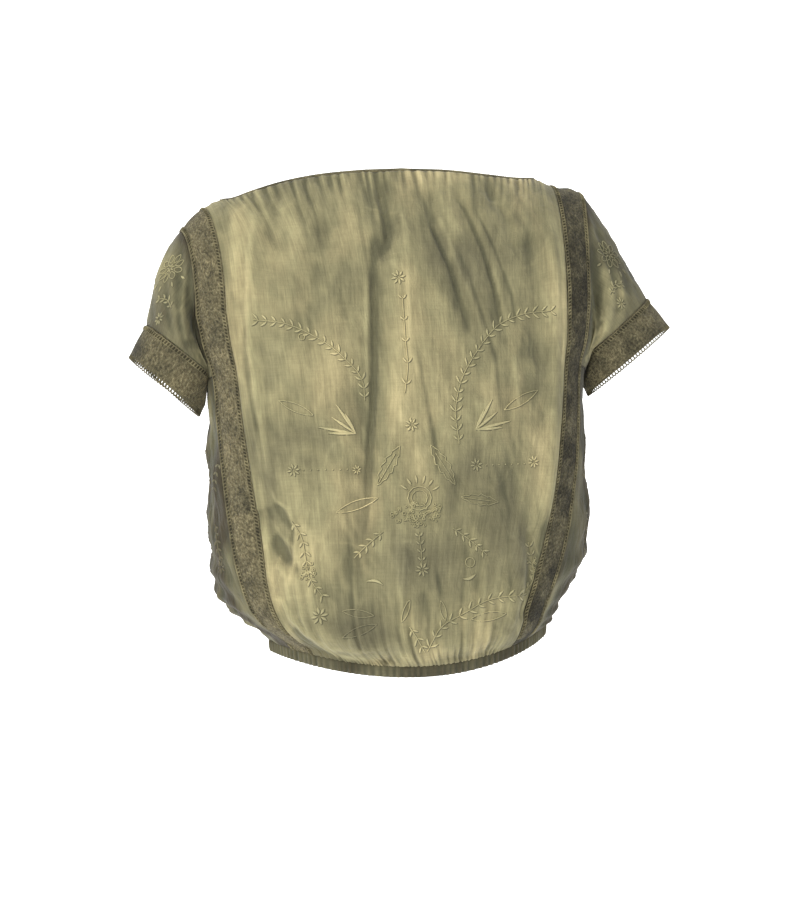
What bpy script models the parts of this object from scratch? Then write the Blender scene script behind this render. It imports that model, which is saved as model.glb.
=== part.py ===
# Drop-shoulder tunic blouse in its worn form: a wide gathered boat neck, lace bands that run
# over both shoulders from hem to hem, short sleeves with lace cuffs and a picot edging, and a
# full lower edge that bags over an elastic hem.
# Metres, +Z up. +X is the wearer's right and +Y the front. z = 0 is the top of the shoulders.

import math

import bmesh
import bpy
import numpy as np
from mathutils import Vector

# Walls and seams
CLOTH_WALL = 0.0015
LACE_WALL = 0.0018
BINDING_WALL = 0.0022
SEAM_GAP = 0.0003

# The cloth bends sharply where the sleeve, the cuff and the edging are sewn on. The walls lean
# together on the inner side of such a bend, so the gap is wider on the outer side.
ARMHOLE_GAP = 0.0009
CUFF_GAP = 0.0008
EDGING_GAP = 0.0006

# Neck opening in plan, and how far the front neck lies under the back neck. The blouse has
# slipped a little towards the wearer's left shoulder. The binding goes round the neck edge.
NECK_SHIFT = -0.018
NECK_HALF_WIDTH = 0.212
NECK_BACK_DEPTH = 0.080
NECK_FRONT_DEPTH = 0.100
NECK_POWER = 2.2
FRONT_NECK_DROP = 0.050
NECK_GAP = 0.0009
BINDING_WIDTH = 0.0048
BINDING_PROBE = 0.002
PLAN_SAMPLES = 400

# Shoulder line: height over x. Inside the neck opening it is only the height that the
# cloth around the opening heads for.
RIDGE_COLUMNS = ("x", "z_left", "z_right")
RIDGE = (
    (0.000, 0.0635, 0.0635),
    (0.060, 0.061, 0.056),
    (0.117, 0.050, 0.040),
    (0.160, 0.033, 0.025),
    (0.194, 0.013, 0.014),
    (0.219, -0.004, 0.003),
    (0.240, -0.0115, 0.0005),
    (0.262, -0.0265, -0.0135),
    (0.285, -0.051, -0.050),
)
# Half width that the yoke heads for at the shoulder line, and the lace band's two edges there
YOKE_REACH = {-1: 0.315, 1: 0.300}
BAND_TOP = {-1: (0.252, 0.284), 1: (0.211, 0.257)}

# Sections of the body from the chest down to the top of the hem band: heights at the left
# side, in the middle and at the right side; a is the half width, b the half depth; the lace
# band lies between band_in and band_out, both moved by shift, for the cloth hangs a little
# twisted; power squares the curve. Both sides are at one height as far down as the sleeves.
SECTION_COLUMNS = ("z_left", "z_mid", "z_right", "a_left", "a_right", "b_back", "b_front",
                   "band_in", "band_out", "shift", "power")
SECTIONS = (
    (-0.160, -0.160, -0.160, 0.276, 0.284, 0.130, 0.134, 0.220, 0.256, -0.012, 2.3),
    (-0.204, -0.204, -0.204, 0.268, 0.266, 0.135, 0.139, 0.217, 0.250, -0.010, 2.3),
    (-0.240, -0.240, -0.240, 0.257, 0.250, 0.139, 0.142, 0.212, 0.241, -0.009, 2.3),
    (-0.300, -0.300, -0.300, 0.254, 0.245, 0.143, 0.146, 0.206, 0.237, -0.010, 2.3),
    (-0.385, -0.385, -0.385, 0.257, 0.245, 0.149, 0.150, 0.194, 0.229, -0.013, 2.3),
    (-0.462, -0.470, -0.465, 0.258, 0.243, 0.153, 0.152, 0.178, 0.215, -0.020, 2.3),
    (-0.496, -0.518, -0.503, 0.256, 0.232, 0.153, 0.152, 0.170, 0.204, -0.024, 2.3),
    (-0.524, -0.559, -0.534, 0.249, 0.212, 0.152, 0.150, 0.160, 0.192, -0.025, 2.2),
    (-0.543, -0.587, -0.554, 0.234, 0.199, 0.148, 0.145, 0.150, 0.181, -0.022, 2.2),
    (-0.558, -0.603, -0.567, 0.216, 0.194, 0.140, 0.137, 0.140, 0.169, -0.017, 2.1),
    (-0.572, -0.612, -0.574, 0.198, 0.189, 0.131, 0.128, 0.132, 0.159, -0.012, 2.0),
    (-0.587, -0.618, -0.579, 0.184, 0.184, 0.122, 0.120, 0.126, 0.151, -0.009, 2.0),
)
HEM_LEVEL = len(SECTIONS) - 1
UNDERARM_LEVEL = 2

# Rows of every panel: 0 is the neck or shoulder, 1 the chest, and 1 + n is section n. Between
# neck and chest a column moves sideways with the row's smooth share to this power.
YOKE_ROWS = (0.0, 0.025, 0.09, 0.24, 0.46, 0.73)
BODY_ROWS = (0, 1, 2, 3, 4, 5, 6, 7, 8, 9.4, 10.6, 11)
ROWS = YOKE_ROWS + tuple(1 + level for level in BODY_ROWS)
YOKE_FAN_POWER = 0.8

# Columns of each piece
BACK_HALF_COLUMNS = 40
BACK_SHOULDER_COLUMNS = 4
FRONT_HALF_COLUMNS = 28
FRONT_SHOULDER_COLUMNS = 3
BAND_COLUMNS = 4
SIDE_COLUMNS = 12

# Gathers: how many waves, how high, and how fast they fade down from the neck or up from the hem
BACK_NECK_GATHERS = 20
FRONT_NECK_GATHERS = 14
NECK_GATHER_HEIGHT = 0.0030
NECK_GATHER_FADE = 0.32
HEM_GATHER_HEIGHT = 0.0026
HEM_GATHER_FADE = 1.4
HEM_GATHER_EDGE = 0.35
GATHER_SEED = 11
GATHER_HEIGHTS = (0.55, 1.1)
GATHER_SIDE_POWER = 10
HEM_WAVE_DRIFT = 0.6
HEM_WAVE_TURN = 9
BAND_GATHER_SHARE = 0.6

# Main folds: facing -1 is the back and +1 the front; height is out of the cloth, so a trough
# is negative; width is the distance at which it has died away to a third
FOLD_COLUMNS = ("facing", "height", "width", "path")
FOLDS = (
    (-1, -0.0070, 0.011, ((-0.032, 0.010), (-0.027, -0.066), (-0.036, -0.110))),
    (-1, -0.0065, 0.018, ((-0.045, -0.080), (-0.051, -0.160), (-0.058, -0.228),
                          (-0.069, -0.323), (-0.080, -0.415), (-0.090, -0.520))),
    (-1, 0.0040, 0.020, ((-0.015, -0.060), (-0.020, -0.200), (-0.035, -0.340))),
    (-1, -0.0045, 0.015, ((-0.100, -0.030), (-0.117, -0.099), (-0.132, -0.178), (-0.134, -0.240))),
    (-1, -0.0045, 0.010, ((0.027, 0.006), (0.033, -0.055), (0.060, -0.147), (0.074, -0.215))),
    (-1, -0.0045, 0.010, ((0.066, 0.000), (0.080, -0.067), (0.104, -0.129), (0.117, -0.205))),
    (-1, -0.0040, 0.009, ((0.104, 0.004), (0.129, -0.042), (0.140, -0.100))),
    (-1, -0.0035, 0.010, ((-0.160, 0.000), (-0.172, -0.060), (-0.176, -0.120))),
    (-1, 0.0040, 0.009, ((-0.190, -0.020), (-0.203, -0.141), (-0.206, -0.244), (-0.199, -0.309),
                         (-0.190, -0.362), (-0.182, -0.410))),
    (-1, 0.0060, 0.010, ((0.190, -0.040), (0.190, -0.150), (0.182, -0.300), (0.168, -0.400),
                         (0.152, -0.470))),
    (-1, -0.0060, 0.014, ((0.160, -0.060), (0.160, -0.160), (0.164, -0.250))),
    (-1, -0.0070, 0.014, ((-0.196, -0.405), (-0.182, -0.450), (-0.172, -0.485))),
    (-1, 0.0060, 0.018, ((-0.150, -0.420), (-0.160, -0.500), (-0.140, -0.560))),
    (-1, 0.0060, 0.014, ((-0.176, -0.535), (-0.146, -0.566), (-0.080, -0.590), (-0.020, -0.586))),
    (-1, -0.0075, 0.010, ((-0.160, -0.585), (-0.115, -0.606), (-0.080, -0.612), (-0.030, -0.606))),
    (-1, -0.0050, 0.012, ((0.010, -0.607), (0.060, -0.610), (0.110, -0.602))),
    (-1, -0.0060, 0.009, ((0.138, -0.440), (0.142, -0.500), (0.126, -0.570))),
    (-1, 0.0055, 0.010, ((0.120, -0.455), (0.122, -0.520), (0.108, -0.580))),
    (-1, -0.0045, 0.016, ((0.040, -0.360), (0.056, -0.450), (0.060, -0.545))),
    (1, -0.0060, 0.014, ((0.030, -0.045), (0.036, -0.120), (0.050, -0.220), (0.058, -0.330))),
    (1, -0.0050, 0.013, ((-0.060, -0.040), (-0.072, -0.110), (-0.090, -0.200), (-0.094, -0.300))),
    (1, -0.0045, 0.010, ((-0.120, -0.010), (-0.140, -0.070), (-0.150, -0.150))),
    (1, -0.0045, 0.011, ((0.110, -0.015), (0.132, -0.080), (0.146, -0.170))),
    (1, 0.0060, 0.010, ((0.186, -0.050), (0.186, -0.160), (0.178, -0.300), (0.162, -0.420))),
    (1, 0.0060, 0.010, ((-0.194, -0.050), (-0.196, -0.160), (-0.188, -0.290), (-0.172, -0.400))),
    (1, -0.0060, 0.018, ((0.000, -0.300), (-0.010, -0.400), (-0.020, -0.520))),
    (1, -0.0060, 0.015, ((0.110, -0.420), (0.120, -0.500), (0.104, -0.580))),
    (1, -0.0060, 0.015, ((-0.120, -0.430), (-0.128, -0.510), (-0.110, -0.582))),
    (1, -0.0065, 0.012, ((-0.140, -0.594), (-0.070, -0.608), (0.010, -0.604), (0.080, -0.610))),
)
FOLD_END_FADE = 0.14
FOLD_END_SHARE = 0.15
FLAT_TOP_ROW = 0.025
FULL_TOP_ROW = 0.09
FLAT_HEM_LEVELS = 0.4
FULL_HEM_LEVELS = 1.6

# Side panel: the crumple's height, its turn down and across the panel, and the levels over
# which it grows; the shallow curve of the top edge under the arm
CRUMPLE_HEIGHT = 0.004
CRUMPLE_DOWN = 5.3
CRUMPLE_ACROSS = 7
CRUMPLE_LEVELS = 2
UNDERARM_DROP = 0.005
UNDERARM_BLEND = 0.012

# Sleeve and cuff: ends of the cuff's rings in the plane y = 0, as x and z, top and underside
CUFF_COLUMNS = ("seam_top", "seam_under", "edge_top", "edge_under", "bulge")
CUFFS = {
    -1: ((0.331, -0.169), (0.243, -0.244), (0.352, -0.205), (0.263, -0.284), 0.018),
    1: ((0.341, -0.149), (0.238, -0.234), (0.368, -0.184), (0.256, -0.272), 0.010),
}
CUFF_SEAM_HALF_DEPTH = 0.056
CUFF_EDGE_HALF_DEPTH = 0.059
CUFF_LENGTH = 0.040
CUFF_FRONT_DROP = {-1: -0.004, 1: 0.006}
CUFF_DROP_LEAN = {-1: 0.9, 1: 0.0}
CUFF_SEAM_DROP_SHARE = 0.3
EDGING_SHARE = 0.16
CUFF_ROWS = 2

# The sleeve stays this far from the body under the arm
BODY_CLEARANCE = 0.0045
CLEAR_LEVELS = 5
CLEAR_SAMPLES = 60

# Sleeve: rows, how its outward direction leans, the bulge's share on the underside, the trough
# beside the lace band and the ripples over it
SLEEVE_ROWS = 5
SLEEVE_LEAN = (0.80, 0.60)
SLEEVE_UNDER_BULGE = 0.35
SLEEVE_TROUGH = 0.012
SLEEVE_TROUGH_PLACE = 0.22
SLEEVE_TROUGH_WIDTH = 0.20
SLEEVE_TROUGH_END = -0.75
SLEEVE_RIPPLE = 0.0021
SLEEVE_RIPPLES = 3
SLEEVE_RIPPLE_TURN = 2.0

# Hem band
HEM_BAND_HEIGHT = 0.013
HEM_CRIMPS = 80
HEM_CRIMP_HEIGHT = 0.0012
HEM_TOP_CRIMP_SHARE = 0.5

# Finishes: sRGB colour of 0 to 255 and roughness
DISPLAY_GAMMA = 2.2
FINISH_COLUMNS = ("red", "green", "blue", "roughness")
FINISHES = {
    "voile": (157, 152, 117, 0.86),
    "lace": (108, 103, 78, 0.92),
    "binding": (92, 88, 66, 0.90),
}


def clear_scene():
    for item in list(bpy.data.objects):
        bpy.data.objects.remove(item, do_unlink=True)


def column(table, columns, name):
    return np.array([row[columns.index(name)] for row in table])


def smooth_value(places, values, place):
    """Value of a smooth curve through the given places and values."""
    slopes = np.gradient(values, places)
    index = int(np.clip(np.searchsorted(places, place) - 1, 0, len(places) - 2))
    span = places[index + 1] - places[index]
    t = (place - places[index]) / span
    start = (1 + 2 * t) * (1 - t) ** 2 * values[index] + t * (1 - t) ** 2 * span * slopes[index]
    end = t * t * (3 - 2 * t) * values[index + 1] + t * t * (t - 1) * span * slopes[index + 1]
    return float(start + end)


LEVELS = np.arange(len(SECTIONS), dtype=float)
SECTION = {name: column(SECTIONS, SECTION_COLUMNS, name) for name in SECTION_COLUMNS}
RIDGE_X = column(RIDGE, RIDGE_COLUMNS, "x")
HALVINGS = 40
RIDGE_Z = {-1: column(RIDGE, RIDGE_COLUMNS, "z_left"), 1: column(RIDGE, RIDGE_COLUMNS, "z_right")}


def section(name, level):
    return smooth_value(LEVELS, SECTION[name], level)


def smooth_step(value):
    value = min(max(value, 0.0), 1.0)
    return value * value * (3 - 2 * value)


def ridge_height(x, facing):
    height = smooth_value(RIDGE_X, RIDGE_Z[1 if x > 0 else -1], min(abs(x), RIDGE_X[-1]))
    if facing > 0:
        inside = max(0.0, 1 - (abs(x - NECK_SHIFT) / NECK_HALF_WIDTH) ** 2)
        height -= FRONT_NECK_DROP * inside
    return height


def body_sizes(level, x, facing):
    half_width = section("a_right" if x > 0 else "a_left", level)
    half_depth = section("b_front" if facing > 0 else "b_back", level)
    return half_width, half_depth, section("power", level)


def body_point(level, x, facing):
    """Point of the smooth body at a section level, on the back (-1) or the front (+1)."""
    half_width, half_depth, power = body_sizes(level, x, facing)
    fullness = 1 - min(abs(x) / half_width, 1.0) ** power
    z_side = section("z_right" if x > 0 else "z_left", level)
    z_mid = section("z_mid", level)
    return Vector((x, facing * half_depth * fullness ** (1 / power),
                   z_side + (z_mid - z_side) * fullness))


def body_outward(level, x, facing):
    half_width, half_depth, power = body_sizes(level, x, facing)
    share = min(abs(x) / half_width, 1.0)
    side = math.copysign(share ** (power - 1) / half_width, x)
    face = facing * (1 - share ** power) ** ((power - 1) / power) / half_depth
    return Vector((side, face, 0)).normalized()


def yoke_point(x, turn, facing):
    """Point between the chest (turn 0) and the shoulder line (turn 90 degrees)."""
    half_width, half_depth, power = body_sizes(0, x, facing)
    half_width += (YOKE_REACH[1 if x > 0 else -1] - half_width) * math.sin(turn)
    depth = half_depth * (1 - min(abs(x) / half_width, 1.0) ** power) ** (1 / power)
    chest_z = section("z_mid", 0)
    rise = ridge_height(x, facing) - chest_z
    return Vector((x, facing * depth * math.cos(turn), chest_z + rise * math.sin(turn)))


def yoke_turn(x, y, facing):
    """Turn at which the yoke passes over a place in plan."""
    low, high = 0.0, math.pi / 2
    for _ in range(HALVINGS):
        middle = (low + high) / 2
        if abs(yoke_point(x, middle, facing).y) > abs(y):
            low = middle
        else:
            high = middle
    return low


def fold_relief(point, facing):
    """Sum of the main folds at a point, as a distance out of the cloth."""
    relief = 0.0
    place = Vector((point.x, point.z))
    for row in FOLDS:
        fold = dict(zip(FOLD_COLUMNS, row))
        if fold["facing"] != facing:
            continue
        knots = [Vector(knot) for knot in fold["path"]]
        lengths = [(b - a).length for a, b in zip(knots, knots[1:])]
        whole = sum(lengths)
        nearest, along, passed = math.inf, 0.0, 0.0
        for a, b, length in zip(knots, knots[1:], lengths):
            share = min(max((place - a).dot(b - a) / length ** 2, 0.0), 1.0)
            distance = (place - (a + (b - a) * share)).length
            if distance < nearest:
                nearest, along = distance, (passed + share * length) / whole
            passed += length
        ends = smooth_step(along / FOLD_END_FADE) * smooth_step((1 - along) / FOLD_END_FADE)
        across = math.exp(-(nearest / fold["width"]) ** 2)
        relief += fold["height"] * across * max(ends, FOLD_END_SHARE)
    return relief


def top_fade(row):
    """0 along the flat strip under the neck binding, 1 a little lower."""
    return smooth_step((row - FLAT_TOP_ROW) / (FULL_TOP_ROW - FLAT_TOP_ROW))


def bottom_fade(row):
    above = HEM_LEVEL + 1 - row
    return smooth_step((above - FLAT_HEM_LEVELS) / (FULL_HEM_LEVELS - FLAT_HEM_LEVELS))


def neck_fade(row):
    """Share of the neck gathers' height at a row: most just under the binding."""
    return top_fade(row) * math.exp(-max(0.0, row - FULL_TOP_ROW) / NECK_GATHER_FADE)


def hem_fade(row):
    above = HEM_LEVEL + 1 - row
    share = HEM_GATHER_EDGE + (1 - HEM_GATHER_EDGE) * bottom_fade(row)
    return share * math.exp(-max(0.0, above - FULL_HEM_LEVELS) / HEM_GATHER_FADE)


def place_point(base, outward, row, facing, gathers=0.0):
    relief = fold_relief(base, facing) * top_fade(row) * bottom_fade(row)
    return base + outward * (relief + gathers)


def column_point(top_x, top_turn, body_x, row, facing, gathers=0.0):
    """Point of a column that starts at the neck or shoulder and follows body_x(level)."""
    if row < 1:
        x = top_x + (body_x(0) - top_x) * smooth_step(row) ** YOKE_FAN_POWER
        turn = top_turn * (1 - row)
        base = yoke_point(x, turn, facing)
        outward = body_outward(0, x, facing) * math.cos(turn) + Vector((0, 0, math.sin(turn)))
        return place_point(base, outward.normalized(), row, facing, gathers)
    level = row - 1
    x = body_x(level)
    return place_point(body_point(level, x, facing), body_outward(level, x, facing),
                       row, facing, gathers)


def neck_plan(facing, count):
    """Plan points of half the neck edge, from the middle to the shoulder, evenly spaced."""
    depth = NECK_FRONT_DEPTH if facing > 0 else NECK_BACK_DEPTH
    angles = np.linspace(0, math.pi / 2, PLAN_SAMPLES)
    xs = NECK_HALF_WIDTH * np.sin(angles) ** (2 / NECK_POWER)
    ys = depth * np.cos(angles) ** (2 / NECK_POWER)
    ys[-1] = 0.0
    steps = np.hypot(np.diff(xs), np.diff(ys))
    along = np.concatenate(([0.0], np.cumsum(steps)))
    wanted = np.linspace(0, along[-1], count + 1)
    return list(zip(np.interp(wanted, along, xs), facing * np.interp(wanted, along, ys)))


def top_edge(facing, half_columns, shoulder_columns, side):
    """Top of a panel's half columns: along the neck edge, then out over the shoulder."""
    half_neck = neck_plan(facing, half_columns - shoulder_columns)
    points = [(side * x + NECK_SHIFT, y) for x, y in half_neck]
    corner = points[-1][0]
    outer = side * (BAND_TOP[side][0] - SEAM_GAP / 2)
    for step in range(1, shoulder_columns + 1):
        points.append((corner + (outer - corner) * step / shoulder_columns, 0.0))
    return [(x, facing * max(abs(y), SEAM_GAP / 2)) for x, y in points]


def panel_grid(facing, half_columns, shoulder_columns, neck_gathers):
    """Back or front panel, its columns running counterclockwise seen from above."""
    edges = {side: top_edge(facing, half_columns, shoulder_columns, side) for side in (-1, 1)}
    random = np.random.default_rng(GATHER_SEED + facing)
    heights = random.uniform(*GATHER_HEIGHTS, 2 * half_columns + 1)
    direction = -facing
    grid = []
    for row in ROWS:
        points = []
        for index in range(-half_columns, half_columns + 1):
            share = direction * index / half_columns
            top_x, top_y = edges[1 if share > 0 else -1][abs(index)]
            turn = yoke_turn(top_x, top_y, facing)

            def body_x(level, share=share):
                return share * (section("band_in", level) - SEAM_GAP / 2) + section("shift", level)

            window = 1 - abs(share) ** GATHER_SIDE_POWER
            height = heights[index + half_columns]
            wave = math.sin(math.pi * neck_gathers * share)
            gathers = NECK_GATHER_HEIGHT * neck_fade(row) * wave * height
            drift = HEM_WAVE_DRIFT * math.sin(HEM_WAVE_TURN * share)
            hem_wave = math.sin(math.pi * neck_gathers * share + drift)
            gathers += HEM_GATHER_HEIGHT * hem_fade(row) * hem_wave * height
            points.append(column_point(top_x, turn, body_x, row, facing, gathers * window))
        grid.append(points)
    return grid


def band_top_x(side, share):
    inner, outer = BAND_TOP[side]
    inner += SEAM_GAP / 2
    outer -= SEAM_GAP / 2
    return side * (inner + (outer - inner) * share)


def band_x(side, share):
    def body_x(level):
        inner = section("band_in", level) + SEAM_GAP / 2
        outer = section("band_out", level) - SEAM_GAP / 2
        return side * (inner + (outer - inner) * share) + section("shift", level)
    return body_x


def band_grid(side):
    """Lace band: from the back hem up over the shoulder and down to the front hem."""
    grid = []
    path = [(-1, row) for row in reversed(ROWS)] + [(1, row) for row in ROWS[1:]]
    for facing, row in path:
        points = []
        for index in range(BAND_COLUMNS + 1):
            share = index / BAND_COLUMNS
            body_x = band_x(side, share)
            inner = 0 < index < BAND_COLUMNS
            wave = (1 if index % 2 else -1) if inner else 0
            gathers = BAND_GATHER_SHARE * HEM_GATHER_HEIGHT * hem_fade(row) * wave
            top_x = band_top_x(side, share)
            points.append(column_point(top_x, math.pi / 2, body_x, row, facing, gathers))
        grid.append(points[::-1] if side > 0 else points)
    return grid


def side_angle(level, side, facing):
    """Angle from the middle of the back or front to the band's outer edge."""
    x = side * (section("band_out", level) + SEAM_GAP / 2) + section("shift", level)
    half_width, half_depth, power = body_sizes(level, x, facing)
    return math.asin((abs(x) / half_width) ** (power / 2))


def side_point(level, side, share, gathers=0.0):
    """Point of the side panel: share 0 at the back band and 1 at the front band."""
    back = side_angle(level, side, -1)
    front = math.pi - side_angle(level, side, 1)
    angle = back + (front - back) * share
    facing = -1 if angle <= math.pi / 2 else 1
    half_width, half_depth, power = body_sizes(level, side, facing)
    x = side * half_width * math.sin(angle) ** (2 / power)
    base = body_point(level, x, facing)
    return place_point(base, body_outward(level, x, facing), level + 1, facing, gathers)


def underarm_drop(share):
    """The side panel's top edge hangs in a shallow curve under the arm."""
    return UNDERARM_DROP * math.sin(math.pi * share)


def side_grid(side):
    grid = []
    levels = [level for level in BODY_ROWS if level >= UNDERARM_LEVEL]
    for level in levels:
        points = []
        for index in range(SIDE_COLUMNS + 1):
            share = index / SIDE_COLUMNS
            window = math.sqrt(max(0.0, math.sin(math.pi * share)))
            wave = math.sin(math.pi * index / 2)
            turn = CRUMPLE_DOWN * level + CRUMPLE_ACROSS * share + side
            crumple = CRUMPLE_HEIGHT * math.sin(turn) * window
            crumple *= smooth_step((level - UNDERARM_LEVEL) / CRUMPLE_LEVELS)
            crumple *= bottom_fade(level + 1)
            gathers = HEM_GATHER_HEIGHT * hem_fade(level + 1) * wave * window
            point = side_point(level, side, share, gathers + crumple)
            if level == UNDERARM_LEVEL:
                point.z -= underarm_drop(share)
            points.append(point)
        grid.append(points if side > 0 else points[::-1])
    return grid


def armhole_loop(side):
    """Sleeve's first ring: shoulder, front band edge, underarm, back band edge."""
    rows = [row for row in ROWS if row <= 1 + UNDERARM_LEVEL]

    def edge_x(level):
        return side * (section("band_out", level) + SEAM_GAP / 2) + section("shift", level)

    top_x = side * (BAND_TOP[side][1] + SEAM_GAP / 2)
    front = [column_point(top_x, math.pi / 2, edge_x, row, 1) for row in rows]
    back = [column_point(top_x, math.pi / 2, edge_x, row, -1) for row in rows]
    under = []
    for index in range(SIDE_COLUMNS - 1, 0, -1):
        share = index / SIDE_COLUMNS
        point = side_point(UNDERARM_LEVEL, side, share)
        point.z -= underarm_drop(share)
        under.append(point)
    loop = front + under + back[:0:-1]
    underarm_z = section("z_mid", UNDERARM_LEVEL)
    for point in loop:
        near_bottom = smooth_step(1 - (point.z - underarm_z) / UNDERARM_BLEND)
        point.z += SEAM_GAP * near_bottom
        point.x += side * (ARMHOLE_GAP - SEAM_GAP)
    return loop


def loop_shares(loop):
    steps = [(b - a).length for a, b in zip(loop, loop[1:] + loop[:1])]
    along = np.concatenate(([0.0], np.cumsum(steps)))
    return list(along[:-1] / along[-1])


def clear_of_body(point, side):
    """Moves a sleeve point outwards where it would lie in the body or too close to it."""
    facing = 1 if point.y > 0 else -1
    levels = np.linspace(0, CLEAR_LEVELS, CLEAR_SAMPLES)
    heights = [section("z_right", level) for level in levels]
    level = float(np.interp(-point.z, [-height for height in heights], levels))
    half_width, half_depth, power = body_sizes(level, side, facing)
    share = min(abs(point.y) / half_depth, 1.0)
    limit = half_width * (1 - share ** power) ** (1 / power) + BODY_CLEARANCE
    if side * point.x < limit and point.z < section("z_mid", UNDERARM_LEVEL) + CUFF_LENGTH:
        point.x = side * limit
    return point


def cuff_point(side, share, along):
    """Point of the cuff: share runs round from the top over the front, along runs down it."""
    cuff = dict(zip(CUFF_COLUMNS, CUFFS[side]))
    tops = np.array([cuff["seam_top"], cuff["edge_top"]])
    unders = np.array([cuff["seam_under"], cuff["edge_under"]])
    depths = np.array([CUFF_SEAM_HALF_DEPTH, CUFF_EDGE_HALF_DEPTH])
    top = tops[0] + (tops[1] - tops[0]) * along
    under = unders[0] + (unders[1] - unders[0]) * along
    depth = depths[0] + (depths[1] - depths[0]) * along
    angle = 2 * math.pi * share
    middle = (top + under) / 2
    reach = (top - under) / 2 * math.cos(angle)
    drop_share = CUFF_SEAM_DROP_SHARE + (1 - CUFF_SEAM_DROP_SHARE) * along
    drop = CUFF_FRONT_DROP[side] * (1 + CUFF_DROP_LEAN[side] * math.cos(angle))
    drop *= math.sin(angle) * drop_share
    point = Vector((side * (middle[0] + reach[0]), depth * math.sin(angle),
                    middle[1] + reach[1] - drop))
    return clear_of_body(point, side)


def sleeve_grid(side):
    loop = armhole_loop(side)
    shares = loop_shares(loop)
    gap_along = CUFF_GAP / CUFF_LENGTH
    bulge_top = CUFFS[side][CUFF_COLUMNS.index("bulge")]
    grid = []
    for row in range(SLEEVE_ROWS + 1):
        s = row / SLEEVE_ROWS
        points = []
        for start, share in zip(loop, shares):
            end = cuff_point(side, share, -gap_along)
            angle = 2 * math.pi * share
            lean_x, lean_z = (part * math.cos(angle) for part in SLEEVE_LEAN)
            radial = Vector((side * lean_x, math.sin(angle), lean_z)).normalized()
            upper = SLEEVE_UNDER_BULGE + (1 - SLEEVE_UNDER_BULGE) * math.cos(angle)
            bulge = bulge_top * max(0.0, upper)
            control = (start + end) / 2 + radial * bulge
            point = start * (1 - s) ** 2 + control * 2 * s * (1 - s) + end * s * s
            trough = 0.0
            if math.cos(angle) > SLEEVE_TROUGH_END:
                trough = SLEEVE_TROUGH * math.sin(angle) ** 2
                trough *= math.exp(-((s - SLEEVE_TROUGH_PLACE) / SLEEVE_TROUGH_WIDTH) ** 2)
            turn = SLEEVE_RIPPLES * angle + SLEEVE_RIPPLE_TURN * s + side
            ripple = SLEEVE_RIPPLE * math.sin(turn) * math.sin(math.pi * s)
            points.append(point - radial * (trough + ripple))
        grid.append(points)
    return grid if side > 0 else [row[::-1] for row in grid]


def cuff_grid(side, start, end, rows):
    shares = loop_shares(armhole_loop(side))
    grid = []
    for row in range(rows + 1):
        along = start + (end - start) * row / rows
        grid.append([cuff_point(side, share, along) for share in shares])
    return grid if side > 0 else [row[::-1] for row in grid]


def neck_ring(inset):
    """Ring round the neck edge, moved into the opening along the cloth by inset."""
    back = neck_plan(-1, BACK_HALF_COLUMNS - BACK_SHOULDER_COLUMNS)
    front = neck_plan(1, FRONT_HALF_COLUMNS - FRONT_SHOULDER_COLUMNS)
    plan = [(NECK_SHIFT - x, y, -1) for x, y in back[::-1]]
    plan += [(NECK_SHIFT + x, y, -1) for x, y in back[1:]]
    plan += [(NECK_SHIFT + x, y, 1) for x, y in front[-2::-1]]
    plan += [(NECK_SHIFT - x, y, 1) for x, y in front[1:-1]]
    ring = []
    count = len(plan)
    for index, (x, y, facing) in enumerate(plan):
        before, after = plan[index - 1], plan[(index + 1) % count]
        inward = Vector((before[1] - after[1], after[0] - before[0])).normalized()

        def height(distance, x=x, y=y, inward=inward, facing=facing):
            px, py = x + inward.x * distance, y + inward.y * distance
            return yoke_point(px, yoke_turn(px, py, facing), facing).z

        slope = (height(BINDING_PROBE) - height(0.0)) / BINDING_PROBE
        plan_inset = inset / math.sqrt(1 + slope * slope)
        ring.append(Vector((x + inward.x * plan_inset, y + inward.y * plan_inset,
                            height(0.0) + slope * plan_inset)))
    return ring


def hem_ring(drop, height):
    """Ring of the hem band: two points to each crimp."""
    ring = []
    count = 2 * HEM_CRIMPS
    for index in range(count):
        angle = 2 * math.pi * index / count - math.pi / 2
        facing = -1 if math.cos(angle) >= 0 else 1
        x = section("a_right", HEM_LEVEL) * math.sin(angle)
        point = body_point(HEM_LEVEL, x, facing)
        outward = body_outward(HEM_LEVEL, x, facing)
        crimp = height * (1 if index % 2 else -1)
        ring.append(point + outward * crimp - Vector((0, 0, drop)))
    return ring


def make_material(name):
    finish = dict(zip(FINISH_COLUMNS, FINISHES[name]))
    material = bpy.data.materials.new(name)
    material.use_nodes = True
    shader = material.node_tree.nodes["Principled BSDF"]
    colour = [(finish[key] / 255) ** DISPLAY_GAMMA for key in ("red", "green", "blue")]
    shader.inputs["Base Color"].default_value = (*colour, 1)
    shader.inputs["Roughness"].default_value = finish["roughness"]
    shader.inputs["Metallic"].default_value = 0.0
    material.diffuse_color = (*colour, 1)
    return material


def make_piece(name, grid, material, wall, collection, closed=False):
    """One sewn piece: a sheet through the grid, thickened to its inner side."""
    shape = bmesh.new()
    rows = [[shape.verts.new(point) for point in points] for points in grid]
    for upper, lower in zip(rows, rows[1:]):
        count = len(upper) if closed else len(upper) - 1
        for index in range(count):
            after = (index + 1) % len(upper)
            shape.faces.new((upper[index], lower[index], lower[after], upper[after]))
    mesh = bpy.data.meshes.new(name)
    shape.to_mesh(mesh)
    shape.free()
    mesh.shade_smooth()
    mesh.materials.append(material)
    piece = bpy.data.objects.new(name, mesh)
    collection.objects.link(piece)
    solidify = piece.modifiers.new("wall", "SOLIDIFY")
    solidify.thickness = wall
    solidify.offset = -1
    return piece


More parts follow.
